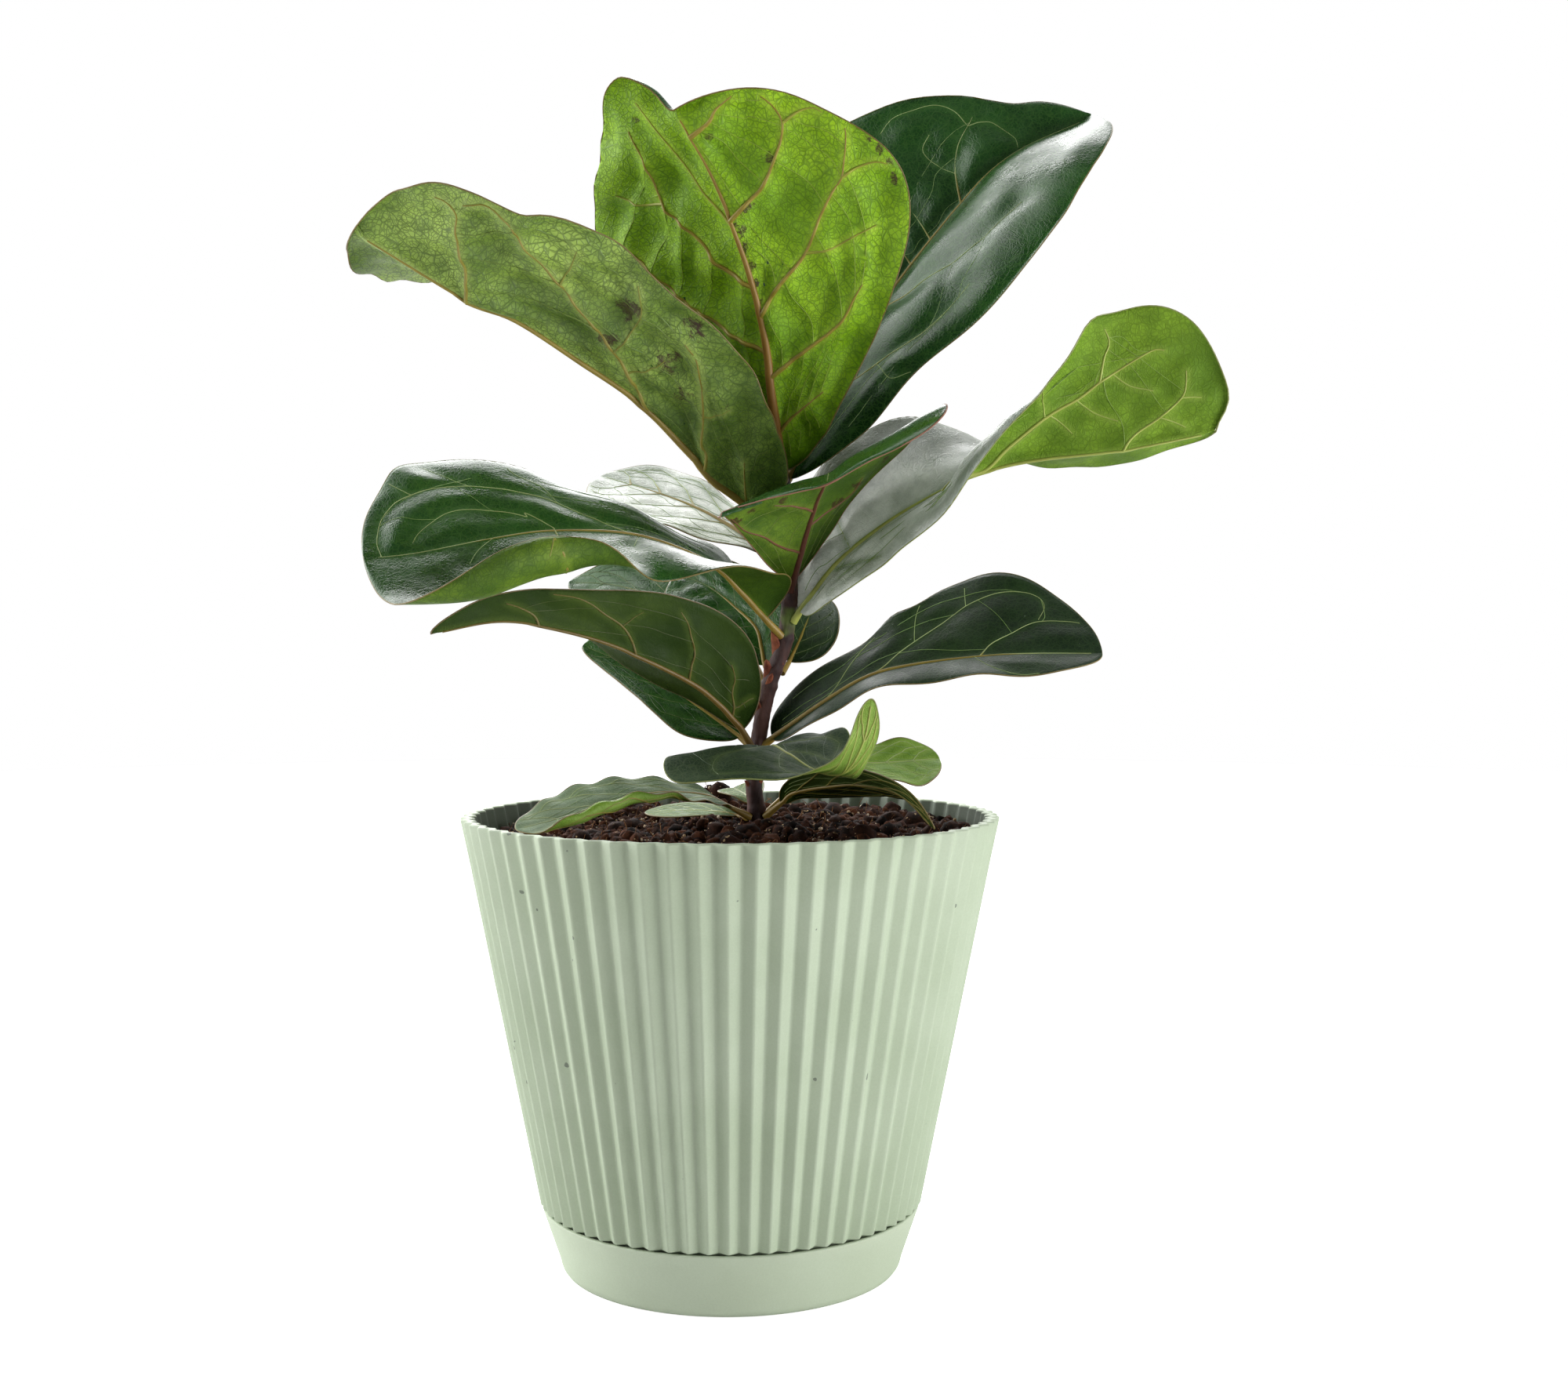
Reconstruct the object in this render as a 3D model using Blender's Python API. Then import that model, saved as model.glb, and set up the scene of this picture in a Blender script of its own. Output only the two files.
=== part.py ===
"""Potted fiddle leaf fig: a pleated pot on its saucer, soil, one stem and nineteen leaves.

Metres, +Z up, the underside of the saucer on the ground and its axis on the Z axis.
"""
import math
from dataclasses import dataclass

import bpy
import numpy as np

MM = 0.001
SEAT_GAP = 0.3 * MM

# Pot
PLEATS = 64
PLEAT_DEPTH = 2.3 * MM
PLEAT_TURN = math.radians(-90.0 + 2.1 + 180.0 / PLEATS)
POT_RIM_HEIGHT = 160.0 * MM
POT_RIM_RADIUS = 95.0 * MM
POT_SHOULDER_HEIGHT = 23.3 * MM
POT_SHOULDER_RADIUS = 67.9 * MM
POT_WALL = 3.0 * MM
POT_FLOOR = 4.0 * MM
FOOT_TOP_RADIUS = 64.4 * MM
FOOT_BOTTOM_RADIUS = 57.6 * MM
FOOT_WALL = 2.8 * MM
INNER_SHOULDER_HEIGHT = 26.5 * MM

# Saucer
SAUCER_HEIGHT = 22.7 * MM
SAUCER_FLOOR = 3.0 * MM
SAUCER_BOTTOM_RADIUS = 59.3 * MM
SAUCER_LIP_RADIUS = 67.2 * MM
SAUCER_LIP = 1.8 * MM
SAUCER_INNER_BOTTOM_RADIUS = 58.6 * MM
SAUCER_SEGMENTS = 72

# Soil
SOIL_GAP = 0.45 * MM
SOIL_LEVEL = 151.0 * MM
SOIL_TILT_X = 0.024
SOIL_TILT_Y = 0.010
MOUND_HEIGHT = 4.5 * MM
MOUND_SPREAD = 22.0 * MM
CLOD_PLACE = (-8.0 * MM, 31.0 * MM)
CLOD_HEIGHT = 13.0 * MM
CLOD_SPREAD = 6.0 * MM
SOIL_LUMP = 0.8 * MM
SOIL_RINGS = (0.92, 0.72, 0.54, 0.42, 0.32, 0.16)

# Stem, in millimetres along its middle line
STEM_FOOT = (9.2, 0.0, 140.0)
STEM_LINE = (STEM_FOOT, (9.2, 0.0, 158.0), (8.2, 0.0, 171.0), (9.5, 0.0, 185.0), (12.0, 0.0, 199.0),
             (15.0, 0.0, 210.0), (19.0, 0.0, 221.0), (21.0, 0.0, 235.0), (21.5, 0.0, 240.0), (20.0, 0.0, 254.0),
             (19.0, 0.0, 268.0), (18.5, 0.0, 280.0), (18.4, 0.0, 286.0))
STEM_RADII = (2.9, 2.8, 2.6, 2.4, 2.3, 2.2, 1.9, 0.6)
STEM_SIDES = 8
STEM_RINGS = 22

# Leaves
BLADE_THICKNESS = 0.70 * MM
KEEL_DEPTH = 1.0 * MM
KEEL_HALF_WIDTH = 1.4 * MM
VEIN_LEAD = 0.20
TIP_LENGTH = 0.20
TIP_WIDTH = 7.0
STALK_SIDES = 6
STALK_RINGS = 4
STALK_RADII = (1.6, 1.3, 0.9)
STALK_DROP = 0.6
STALK_REACH = 0.14
KEEL_TIP_SHARE = 0.2
BEND_STEPS = 12

GREEN = {
    "lime": (0.150, 0.340, 0.030, 1.0),
    "dark": (0.015, 0.075, 0.022, 1.0),
    "olive": (0.060, 0.150, 0.020, 1.0),
}


@dataclass(frozen=True)
class LeafForm:
    """One leaf in millimetres; lists run from the base of the blade to its tip."""

    name: str
    stalk: tuple
    rib: tuple
    face: tuple
    left: tuple
    right: tuple
    fold_left: tuple = (20.0,)
    fold_right: tuple = (20.0,)
    curl_left: tuple = (0.0,)
    curl_right: tuple = (0.0,)
    wave: tuple = (0.0, 3.0, 0.0)
    slant: float = 0.0
    tips: tuple = (0.0, 0.0)
    rows: int = 14
    columns: tuple = (0.4, 0.7, 1.0)
    tint: str = "dark"


LEAVES = (
    LeafForm(
        name="leaf_crown_upright",
        stalk=(19, -1, 277),
        rib=((17, -6, 288), (14, -14, 302), (10, -26, 330), (2, -36, 355), (-8, -42, 378), (-19, -46, 395)),
        face=((0.3, 0.9, 0.35),),
        left=(8, 24, 42, 57, 62, 56),
        right=(6, 22, 42, 54, 46, 42),
        fold_left=(12,),
        fold_right=(20,),
        wave=(1.0, 3.5, 0.1),
        tips=(0.0, 0.14),
        slant=0.2,
        tint="lime",
    ),
    LeafForm(
        name="leaf_upper_left",
        stalk=(18.2, -1, 261),
        rib=((12, -4, 264), (-8, -14, 278), (-31, -28, 300), (-51, -38, 313), (-71, -48, 325), (-87, -55, 331),
             (-120, -66, 350)),
        face=((0.3, -0.1, 0.95),),
        left=(12, 22, 40, 46, 44, 50),
        right=(10, 24, 40, 52, 52, 44),
        fold_left=(50, 50, 50, 50, 55),
        fold_right=(40, 40, 35, 10, -25),
        wave=(1.0, 3.0, 0.4),
        tint="olive",
    ),
    LeafForm(
        name="leaf_upper_right",
        stalk=(20, 2, 278),
        rib=((24, 5, 285), (38, 14, 318), (55, 22, 343), (84, 34, 381), (105, 41, 402), (137, 52, 419)),
        face=((-0.45, -0.75, 0.61),),
        left=(10, 28, 47, 52, 38, 15),
        right=(10, 30, 49, 58, 54, 46),
        fold_left=(25,),
        fold_right=(15,),
        wave=(1.2, 3.2, 0.0),
    ),
    LeafForm(
        name="leaf_front_arched",
        stalk=(21, -3, 239),
        rib=((22, -6, 243), (24, -14, 251), (28, -30, 264), (31, -44, 271), (32, -55, 274), (31, -66, 267)),
        face=((-0.55, 0.6, 0.45), (-0.5, 0.5, 0.6), (-0.4, 0.2, 0.8), (-0.4, -0.35, 0.85)),
        left=(6, 13, 20, 32, 46, 70),
        right=(6, 16, 26, 34, 42, 56),
        fold_left=(5,),
        fold_right=(5,),
        tint="lime",
    ),
    LeafForm(
        name="leaf_right_turned",
        stalk=(22, -2, 228),
        rib=((25, -3, 232), (38, -12, 249), (54, -20, 262), (71, -28, 272), (84, -32, 278), (103, -36, 282),
             (131, -40, 285), (162, -42, 291)),
        face=((-0.5, -0.5, 0.7), (-0.45, -0.5, 0.75), (-0.4, -0.3, 0.85), (-0.1, 0.5, 0.85), (0, 0.6, 0.8),
              (0, 0.6, 0.75)),
        left=(12, 28, 33, 26, 24, 22),
        right=(14, 18, 17, 23, 44, 80),
        fold_left=(20, 30, 30, 30, 30),
        fold_right=(0, -10, 5, 50, 50, 45),
        curl_right=(0, 0, -60, -130, -10, 0),
        rows=18,
    ),
    LeafForm(
        name="leaf_left_glossy",
        stalk=(18, -2, 223),
        rib=((12, -6, 229), (4, -12, 238), (-7, -20, 248), (-31, -33, 257), (-58, -44, 258), (-78, -52, 255),
             (-101, -60, 250), (-117, -64, 248)),
        face=((0.3, -0.3, 0.9), (0.1, -0.45, 0.88), (0, -0.57, 0.82), (0, -0.57, 0.82), (0, -0.57, 0.82),
              (0, -0.57, 0.82)),
        left=(24, 24, 34, 62, 62, 38),
        right=(14, 14, 26, 44, 52, 50),
        fold_left=(75, 40, 0, -18, -20, 0),
        fold_right=(5,),
        curl_left=(0, 0, 20, 135, 165, 110),
        rows=18,
        columns=(0.35, 0.6, 0.8, 1.0),
    ),
    LeafForm(
        name="leaf_left_rear",
        stalk=(19, 2, 247),
        rib=((12, 9, 253), (8, 12, 257), (-9, 26, 268), (-27, 38, 276), (-49, 50, 283)),
        face=((0.3, -0.5, 0.8),),
        left=(8, 18, 26, 30, 30, 24),
        right=(8, 12, 14, 18, 20, 14),
        fold_left=(0,),
        fold_right=(10,),
        wave=(0.8, 3.0, 0.2),
    ),
    LeafForm(
        name="leaf_left_olive",
        stalk=(9, -2, 181),
        rib=((4, -7, 190), (-4, -13, 199), (-14, -20, 207), (-35, -33, 218), (-55, -44, 225), (-75, -53, 228),
             (-96, -62, 224)),
        face=((0.2, 0.5, 0.8),),
        left=(16, 26, 24, 16, 11, 7),
        right=(8, 16, 20, 18, 14, 7),
        fold_left=(50,),
        fold_right=(10, 10, 25, 30, 30),
        tint="olive",
    ),
    LeafForm(
        name="leaf_left_shaded",
        stalk=(9, 2, 182),
        rib=((3, 6, 187), (-4, 10, 192), (-22, 20, 204), (-40, 30, 213), (-55, 36, 219)),
        face=((0.3, -0.75, 0.6),),
        left=(10, 15, 14, 11, 8, 5),
        right=(8, 14, 20, 22, 20, 12),
        fold_left=(0,),
        fold_right=(15,),
        rows=12,
    ),
    LeafForm(
        name="leaf_inner_left",
        stalk=(13, 2, 204),
        rib=((6, 16, 219), (-4, 26, 226), (-24, 42, 236), (-44, 54, 242), (-62, 62, 243)),
        face=((0.2, -0.8, 0.5),),
        left=(8, 12, 16, 17, 15, 9),
        right=(8, 12, 14, 14, 12, 6),
        fold_left=(5,),
        fold_right=(5,),
        wave=(1.0, 3.0, 0.3),
        rows=12,
    ),
    LeafForm(
        name="leaf_inner_rear",
        stalk=(14.5, 2, 208),
        rib=((12, 5, 213), (11, 8, 219), (9, 12, 226), (2, 20, 233), (-8, 30, 241), (-20, 40, 246)),
        face=((-0.3, -0.8, 0.6),),
        left=(8, 18, 26, 28, 26, 16),
        right=(8, 12, 14, 14, 12, 8),
        fold_left=(10,),
        fold_right=(10,),
        rows=12,
    ),
    LeafForm(
        name="leaf_right_lower",
        stalk=(11, -1, 184),
        rib=((15, -2, 187), (33, -7, 200), (48, -11, 209), (63, -14, 213), (85, -18, 216), (103, -20, 217),
             (128, -22, 217)),
        face=((0, -0.4, 0.9),),
        left=(14, 14, 18, 36, 38, 26),
        right=(8, 9, 13, 17, 18, 16),
        fold_left=(25,),
        fold_right=(0,),
        wave=(0.8, 3.5, 0.6),
    ),
    LeafForm(
        name="leaf_inner_right",
        stalk=(18, 2, 210),
        rib=((22, 6, 215), (25, 14, 220), (28, 26, 224), (29, 38, 226)),
        face=((0, -0.6, 0.8),),
        left=(5, 8, 10, 10, 9, 6),
        right=(6, 10, 12, 12, 10, 7),
        fold_left=(15,),
        fold_right=(15,),
        rows=9,
        columns=(0.5, 1.0),
    ),
    LeafForm(
        name="leaf_front_low",
        stalk=(9, -4, 178),
        rib=((13, -8, 183), (15, -14, 185), (18, -23, 184.5), (22, -35, 182), (27, -50, 177)),
        face=((0, -0.15, 0.97),),
        left=(14, 16, 20, 28, 30, 20),
        right=(22, 40, 44, 42, 34, 22),
        fold_left=(12,),
        fold_right=(3,),
        curl_left=(0, 40, 80, 115, 140, 120),
        curl_right=(0, 10, 30, 40, 20, 0),
        columns=(0.35, 0.6, 0.8, 1.0),
    ),
    LeafForm(
        name="leaf_low_right_lime",
        stalk=(12, 2, 159),
        rib=((20, 5, 166), (28, 6, 170), (42, 10, 173), (56, 14, 175), (76, 18, 176)),
        face=((0, 0.75, 0.65),),
        left=(4, 8, 10, 12, 14, 12),
        right=(4, 8, 10, 12, 14, 12),
        fold_left=(15,),
        fold_right=(15,),
        rows=10,
        columns=(0.5, 1.0),
        tint="lime",
    ),
    LeafForm(
        name="leaf_low_right_arched",
        stalk=(12, -2, 159),
        rib=((18, -5, 164), (22, -8, 168), (33, -18, 171), (44, -34, 173), (56, -50, 171), (66, -60, 161)),
        face=((0.3, 0.5, 0.8),),
        left=(4, 12, 16, 16, 12, 6),
        right=(4, 8, 10, 8, 6, 4),
        fold_left=(15,),
        fold_right=(15,),
        rows=12,
        columns=(0.5, 1.0),
        tint="olive",
    ),
    LeafForm(
        name="leaf_low_left",
        stalk=(6.5, -2, 159),
        rib=((0, -8, 163), (-9, -16, 168), (-25, -28, 170), (-40, -40, 168), (-55, -52, 164), (-69, -62, 161)),
        face=((0, -0.2, 0.97),),
        left=(4, 8, 11, 14, 15, 12),
        right=(4, 8, 12, 13, 12, 9),
        fold_left=(0,),
        fold_right=(10,),
        curl_left=(90,),
        rows=12,
    ),
    LeafForm(
        name="leaf_soil_left",
        stalk=(6.5, 1, 158),
        rib=((2, 4, 159), (-4, 6, 160), (-15, 11, 160), (-31, 15, 159)),
        face=((0, -0.2, 0.97),),
        left=(3, 5, 7, 8, 7, 5),
        right=(3, 5, 7, 8, 7, 5),
        fold_left=(0,),
        fold_right=(5,),
        rows=9,
        columns=(0.5, 1.0),
    ),
    LeafForm(
        name="leaf_soil_rear",
        stalk=(7.5, 3, 161),
        rib=((6.5, 7, 163), (6, 10, 165), (4, 16, 166), (1, 23, 167)),
        face=((0, -0.5, 0.8),),
        left=(3, 6, 8, 9, 8, 5),
        right=(3, 6, 8, 9, 8, 5),
        fold_left=(15,),
        fold_right=(15,),
        rows=9,
        columns=(0.5, 1.0),
        tint="lime",
    ),
)

# Papery scales on the stem: place on the stem line, direction of the point, length and width in millimetres
SCALE_ROOT = 1.2
SCALE_SPREAD = 3.4
SCALE_TIP = 4.6
SCALE_SINK = 2.0
SCALE_HALF_THICKNESS = 0.35
SCALES = (
    ((13.8, 0.0, 206.0), (-0.3, -0.9), 8.0, 3.4),
    ((14.4, 0.0, 208.0), (0.9, -0.6), 6.0, 3.0),
    ((8.7, 0.0, 165.0), (-0.9, -0.5), 6.0, 3.2),
    ((8.4, 0.0, 167.0), (0.9, -0.5), 6.0, 3.0),
)


def clear_scene():
    """Start from an empty file."""
    for item in list(bpy.data.objects):
        bpy.data.objects.remove(item, do_unlink=True)


def paint(name, color, roughness):
    """A plain material of one colour."""
    material = bpy.data.materials.new(name)
    material.use_nodes = True
    shader = material.node_tree.nodes["Principled BSDF"]
    shader.inputs["Base Color"].default_value = color
    shader.inputs["Roughness"].default_value = roughness
    return material


def solid_object(name, points, faces, material=None, smooth=True):
    """Object from points in metres and faces that look outwards."""
    mesh = bpy.data.meshes.new(name)
    mesh.from_pydata([tuple(float(value) for value in point) for point in points], [], faces)
    mesh.update()
    mesh.polygons.foreach_set("use_smooth", [smooth] * len(mesh.polygons))
    item = bpy.data.objects.new(name, mesh)
    bpy.context.scene.collection.objects.link(item)
    if material is not None:
        mesh.materials.append(material)
    return item


def hide_tool(item):
    """Mark an object as a tool that only shapes another one."""
    item.hide_render = True
    item.display_type = "WIRE"


def combine(item, tool, operation):
    """Join the tool to the object or cut it out."""
    modifier = item.modifiers.new(tool.name, "BOOLEAN")
    modifier.operation = operation
    modifier.solver = "EXACT"
    modifier.object = tool


def unit(vectors):
    """Vectors of length one."""
    return vectors / np.linalg.norm(vectors, axis=-1, keepdims=True)


def spline(points, places):
    """Smooth line through the points, at places counted from 0 to the number of points less one."""
    values = np.asarray(points, float)
    if values.ndim == 1:
        return spline(values[:, None], places)[:, 0]
    count = len(values)
    ends = np.vstack([2 * values[0] - values[1], values, 2 * values[-1] - values[-2]])
    places = np.clip(np.asarray(places, float), 0, count - 1)
    first = np.minimum(places.astype(int), count - 2)
    share = (places - first)[:, None]
    p0 = ends[first]
    p1 = ends[first + 1]
    p2 = ends[first + 2]
    p3 = ends[first + 3]
    square = (2 * p0 - 5 * p1 + 4 * p2 - p3) * share ** 2
    cube = (3 * p1 - p0 - 3 * p2 + p3) * share ** 3
    return 0.5 * (2 * p1 + (p2 - p0) * share + square + cube)


def along(values, share):
    """Value that changes along the blade, given at evenly spaced stations."""
    stations = np.asarray(values, float)
    if len(stations) == 1:
        return np.broadcast_to(stations[0], np.shape(share) + stations.shape[1:])
    return spline(stations, np.clip(share, 0, 1) * (len(stations) - 1))


class Line:
    """Curved line measured by its length, straight past both ends."""

    def __init__(self, points, samples=200):
        self.points = spline(points, np.linspace(0, len(points) - 1, samples))
        steps = np.linalg.norm(np.diff(self.points, axis=0), axis=1)
        self.marks = np.concatenate([[0], np.cumsum(steps)])
        self.length = self.marks[-1]

    def at(self, distance):
        """Points at distances from the start."""
        distance = np.asarray(distance, float)
        parts = [np.interp(distance, self.marks, self.points[:, axis]) for axis in range(3)]
        start = unit(self.points[1] - self.points[0])
        end = unit(self.points[-1] - self.points[-2])
        before = np.minimum(distance, 0)[..., None] * start
        after = np.maximum(distance - self.length, 0)[..., None] * end
        return np.stack(parts, -1) + before + after

    def heading(self, distance, reach):
        """Direction of the line at distances from the start."""
        return unit(self.at(distance + reach) - self.at(distance - reach))


def half_width(form, share, side):
    """Half width of the flat blade on one side, in millimetres."""
    width = along(form.right if side > 0 else form.left, share)
    place = np.clip(share, 0, 1)
    return width * np.sqrt(1 - place ** 8) * np.sqrt(1 - (1 - place) ** 14)


def flat_blade(form, rows, reach):
    """Share of the length and distance from the midrib of each row, at one share of the half width."""
    side = 1 if reach >= 0 else -1
    margin = 0.5 * (1 - np.cos(np.pi * rows))
    middle = margin - VEIN_LEAD * np.sin(np.pi * rows) ** 2
    aside = half_width(form, margin, side) * reach
    slanted = margin + side * form.slant * margin ** 3 * (1 - margin ** 8)
    share = middle + (slanted - middle) * abs(reach)
    lobe = form.tips[1] if side > 0 else form.tips[0]
    lobe = lobe * np.exp(-((1 - margin) / TIP_LENGTH) ** 2) * (1 - np.exp(-(aside / TIP_WIDTH) ** 2))
    return share + lobe, aside


def bent_blade(form, line, share, aside):
    """Place the flat blade in space: along its rib, folded at the rib and curled at its margins."""
    distance = share * line.length
    middle = line.at(distance)
    heading = line.heading(distance, 0.02 * line.length)
    up = along([unit(np.array(face, float)) for face in form.face], share)
    up = unit(up - (up * heading).sum(-1, keepdims=True) * heading)
    across = np.cross(heading, up)
    right = aside >= 0
    width = np.where(right, along(form.right, share), along(form.left, share))
    fold = np.where(right, along(form.fold_right, share), along(form.fold_left, share))
    curl = np.where(right, along(form.curl_right, share), along(form.curl_left, share))
    reach = np.abs(aside) / width
    outward = np.zeros_like(share)
    upward = np.zeros_like(share)
    for step in range(BEND_STEPS):
        part = reach * (step + 0.5) / BEND_STEPS
        angle = np.radians(fold + curl * part ** 2)
        outward += np.cos(angle) * reach / BEND_STEPS
        upward += np.sin(angle) * reach / BEND_STEPS
    height, count, start = form.wave
    ripple = height * np.sin(2 * np.pi * (count * share + start + 0.37 * right)) * reach ** 2
    outward = outward * width * np.sign(aside)
    upward = upward * width + ripple
    return middle + across * outward[..., None] + up * upward[..., None]


def blade_columns(form):
    """Shares of the half width at which the blade has its lines of points, left to right."""
    right = list(form.columns)
    left = [-value for value in reversed(right)]
    return left + ["rib_left", 0.0, "rib_right"] + right


def blade_points(form, line):
    """Middle surface of the blade as rows of points, in millimetres."""
    rows = np.linspace(0, 1, form.rows + 1)
    keel = KEEL_HALF_WIDTH / MM
    strips = []
    for column in blade_columns(form):
        if column in ("rib_left", "rib_right"):
            side = 1 if column == "rib_right" else -1
            middle = 0.5 * (1 - np.cos(np.pi * rows))
            width = np.maximum(half_width(form, middle, side), 1e-6)
            reach = side * np.minimum(0.3, keel / width)
        else:
            reach = np.full(rows.shape, float(column))
        strip = []
        for row, value in zip(rows, reach):
            share, aside = flat_blade(form, np.array([row]), value)
            strip.append(bent_blade(form, line, share, aside)[0])
        strips.append(strip)
    return np.array(strips).transpose(1, 0, 2)


def blade_skin(row_count, column_count):
    """Triangles of one skin, seen from the upper side; first and last row are one point each."""

    def index(row, column):
        if row == 0:
            return 0
        if row == row_count:
            return 1 + (row_count - 1) * column_count
        return 1 + (row - 1) * column_count + column

    faces = []
    for row in range(row_count):
        for column in range(column_count - 1):
            near_left = index(row, column)
            near_right = index(row, column + 1)
            far_right = index(row + 1, column + 1)
            far_left = index(row + 1, column)
            if row == 0:
                faces.append((near_left, far_right, far_left))
            elif row == row_count - 1:
                faces.append((near_left, near_right, far_left))
            else:
                faces.append((near_left, near_right, far_right))
                faces.append((near_left, far_right, far_left))
    margin = [0]
    margin += [index(row, column_count - 1) for row in range(1, row_count)]
    margin += [index(row_count, 0)]
    margin += [index(row, 0) for row in range(row_count - 1, 0, -1)]
    return faces, margin


def skin_normals(points, faces):
    """Directions square to the skin at its points."""
    normals = np.zeros_like(points)
    corners = np.array(faces)
    first = points[corners[:, 1]] - points[corners[:, 0]]
    second = points[corners[:, 2]] - points[corners[:, 0]]
    crosses = np.cross(first, second)
    for corner in range(3):
        np.add.at(normals, corners[:, corner], crosses)
    return unit(normals)


def blade_object(form, line, material):
    """Blade of even thickness with its midrib as a keel underneath."""
    grid = blade_points(form, line) * MM
    row_count = grid.shape[0] - 1
    column_count = grid.shape[1]
    inner = grid[1:row_count].reshape(-1, 3)
    middle_column = column_count // 2
    points = np.vstack([grid[0, middle_column], inner, grid[row_count, middle_column]])
    faces, margin = blade_skin(row_count, column_count)
    normals = skin_normals(points, faces)
    keel = np.zeros(len(points))
    for row in range(1, row_count):
        depth = KEEL_DEPTH * (1.0 - (1.0 - KEEL_TIP_SHARE) * row / row_count)
        keel[1 + (row - 1) * column_count + middle_column] = depth
    upper = points + normals * BLADE_THICKNESS / 2
    lower = points - normals * (BLADE_THICKNESS / 2 + keel)[:, None]
    count = len(points)
    solid = list(faces)
    solid += [(c + count, b + count, a + count) for a, b, c in faces]
    for here, there in zip(margin, margin[1:] + margin[:1]):
        solid.append((there, here, here + count))
        solid.append((there, here + count, there + count))
    return solid_object(form.name, np.vstack([upper, lower]), solid, material)


def tube_rings(points, radii, sides, rings):
    """Rings of points round a curved line, in millimetres."""
    line = Line(points)
    marks = np.linspace(0, line.length, rings)
    middle = line.at(marks)
    heading = line.heading(marks, 0.02 * line.length)
    across = unit(np.cross(heading, np.array((0.3, 1.0, 0.1))))
    beside = np.cross(heading, across)
    widths = np.interp(marks / line.length, np.linspace(0, 1, len(radii)), radii)
    angles = np.arange(sides) * 2 * math.pi / sides
    spread = np.cos(angles)[None, :, None] * across[:, None] + np.sin(angles)[None, :, None] * beside[:, None]
    return middle[:, None] + widths[:, None, None] * spread


def tube_object(name, points, radii, sides, rings, material=None):
    """Closed round rod along a curved line."""
    rows = tube_rings(points, radii, sides, rings) * MM
    faces = []
    for ring in range(rings - 1):
        for side in range(sides):
            here = ring * sides + side
            there = ring * sides + (side + 1) % sides
            faces.append((here, there, there + sides, here + sides))
    faces.append(tuple(range(sides))[::-1])
    faces.append(tuple((rings - 1) * sides + side for side in range(sides)))
    return solid_object(name, rows.reshape(-1, 3), faces, material)


def stalk_tool(form, line):
    """Leaf stalk from the stem to the underside of the midrib."""
    start = np.array(form.stalk, float)
    base = line.at(np.array(0.0))
    reach = STALK_REACH * line.length
    inside = line.at(np.array(reach))
    up = unit(np.array(form.face[0], float))
    heading = line.heading(np.array(reach), 0.02 * line.length)
    up = unit(up - (up * heading).sum() * heading)
    path = (start, base - 0.5 * STALK_DROP * up, inside - STALK_DROP * up)
    tool = tube_object(form.name + "_stalk", path, STALK_RADII, STALK_SIDES, STALK_RINGS)
    hide_tool(tool)
    return tool


def build_leaf(form, stem_room):
    """One leaf with its stalk, clear of the stem."""
    material = paint(form.name, GREEN[form.tint], 0.42)
    line = Line(form.rib)
    leaf = blade_object(form, line, material)
    combine(leaf, stalk_tool(form, line), "UNION")
    combine(leaf, stem_room, "DIFFERENCE")
    return leaf


def scale_tool(number, place, direction, length, width):
    """Thin pointed scale that stands off the stem."""
    root = np.array(place, float)
    out = np.array((direction[0], direction[1], 0.0))
    out = out / np.linalg.norm(out)
    side = np.cross(out, (0.0, 0.0, 1.0))
    up = np.array((0.0, 0.0, 1.0))
    inner = root + out * SCALE_ROOT - up * SCALE_SINK
    outer = root + out * SCALE_SPREAD + up * length * 0.4
    tip = root + out * SCALE_TIP + up * length
    corners = [inner - side * width / 2, inner + side * width / 2, outer + side * width / 3, outer - side * width / 3]
    thick = SCALE_HALF_THICKNESS
    front = [corner + out * thick for corner in corners] + [tip + out * thick]
    rear = [corner - out * thick for corner in corners] + [tip - out * thick]
    points = np.array(front + rear) * MM
    outline = (0, 1, 2, 4, 3)
    faces = [(0, 1, 2, 3), (3, 2, 4), (8, 7, 6, 5), (9, 7, 8)]
    for here, there in zip(outline, outline[1:] + outline[:1]):
        faces.append((there, here, here + 5, there + 5))
    tool = solid_object(f"scale_{number}", points, faces)
    hide_tool(tool)
    return tool


def build_stem():
    """Stem with its papery scales."""
    bark = paint("stem", (0.070, 0.038, 0.025, 1.0), 0.75)
    stem = tube_object("stem", STEM_LINE, STEM_RADII, STEM_SIDES, STEM_RINGS, bark)
    for number, scale in enumerate(SCALES):
        combine(stem, scale_tool(number, *scale), "UNION")
    return stem


def build_stem_room():
    """Room that the stem needs among the leaves and in the soil."""
    gap = SEAT_GAP / MM
    radii = tuple(radius + gap + 0.05 for radius in STEM_RADII)
    below = (STEM_FOOT[0], STEM_FOOT[1], STEM_FOOT[2] - gap)
    room = tube_object("stem_room", (below,) + STEM_LINE[1:], radii, STEM_SIDES, STEM_RINGS)
    hide_tool(room)
    return room


def pleated_ring(radius, height):
    """Ring of points that goes out and in once for each pleat."""
    ring = []
    for step in range(2 * PLEATS):
        angle = PLEAT_TURN + math.pi * step / PLEATS
        reach = radius if step % 2 == 0 else radius - PLEAT_DEPTH
        ring.append((reach * math.cos(angle), reach * math.sin(angle), height))
    return ring


def plain_ring(radius, height, count=2 * PLEATS, start=PLEAT_TURN):
    """Round ring of points."""
    ring = []
    for step in range(count):
        angle = start + 2 * math.pi * step / count
        ring.append((radius * math.cos(angle), radius * math.sin(angle), height))
    return ring


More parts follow.
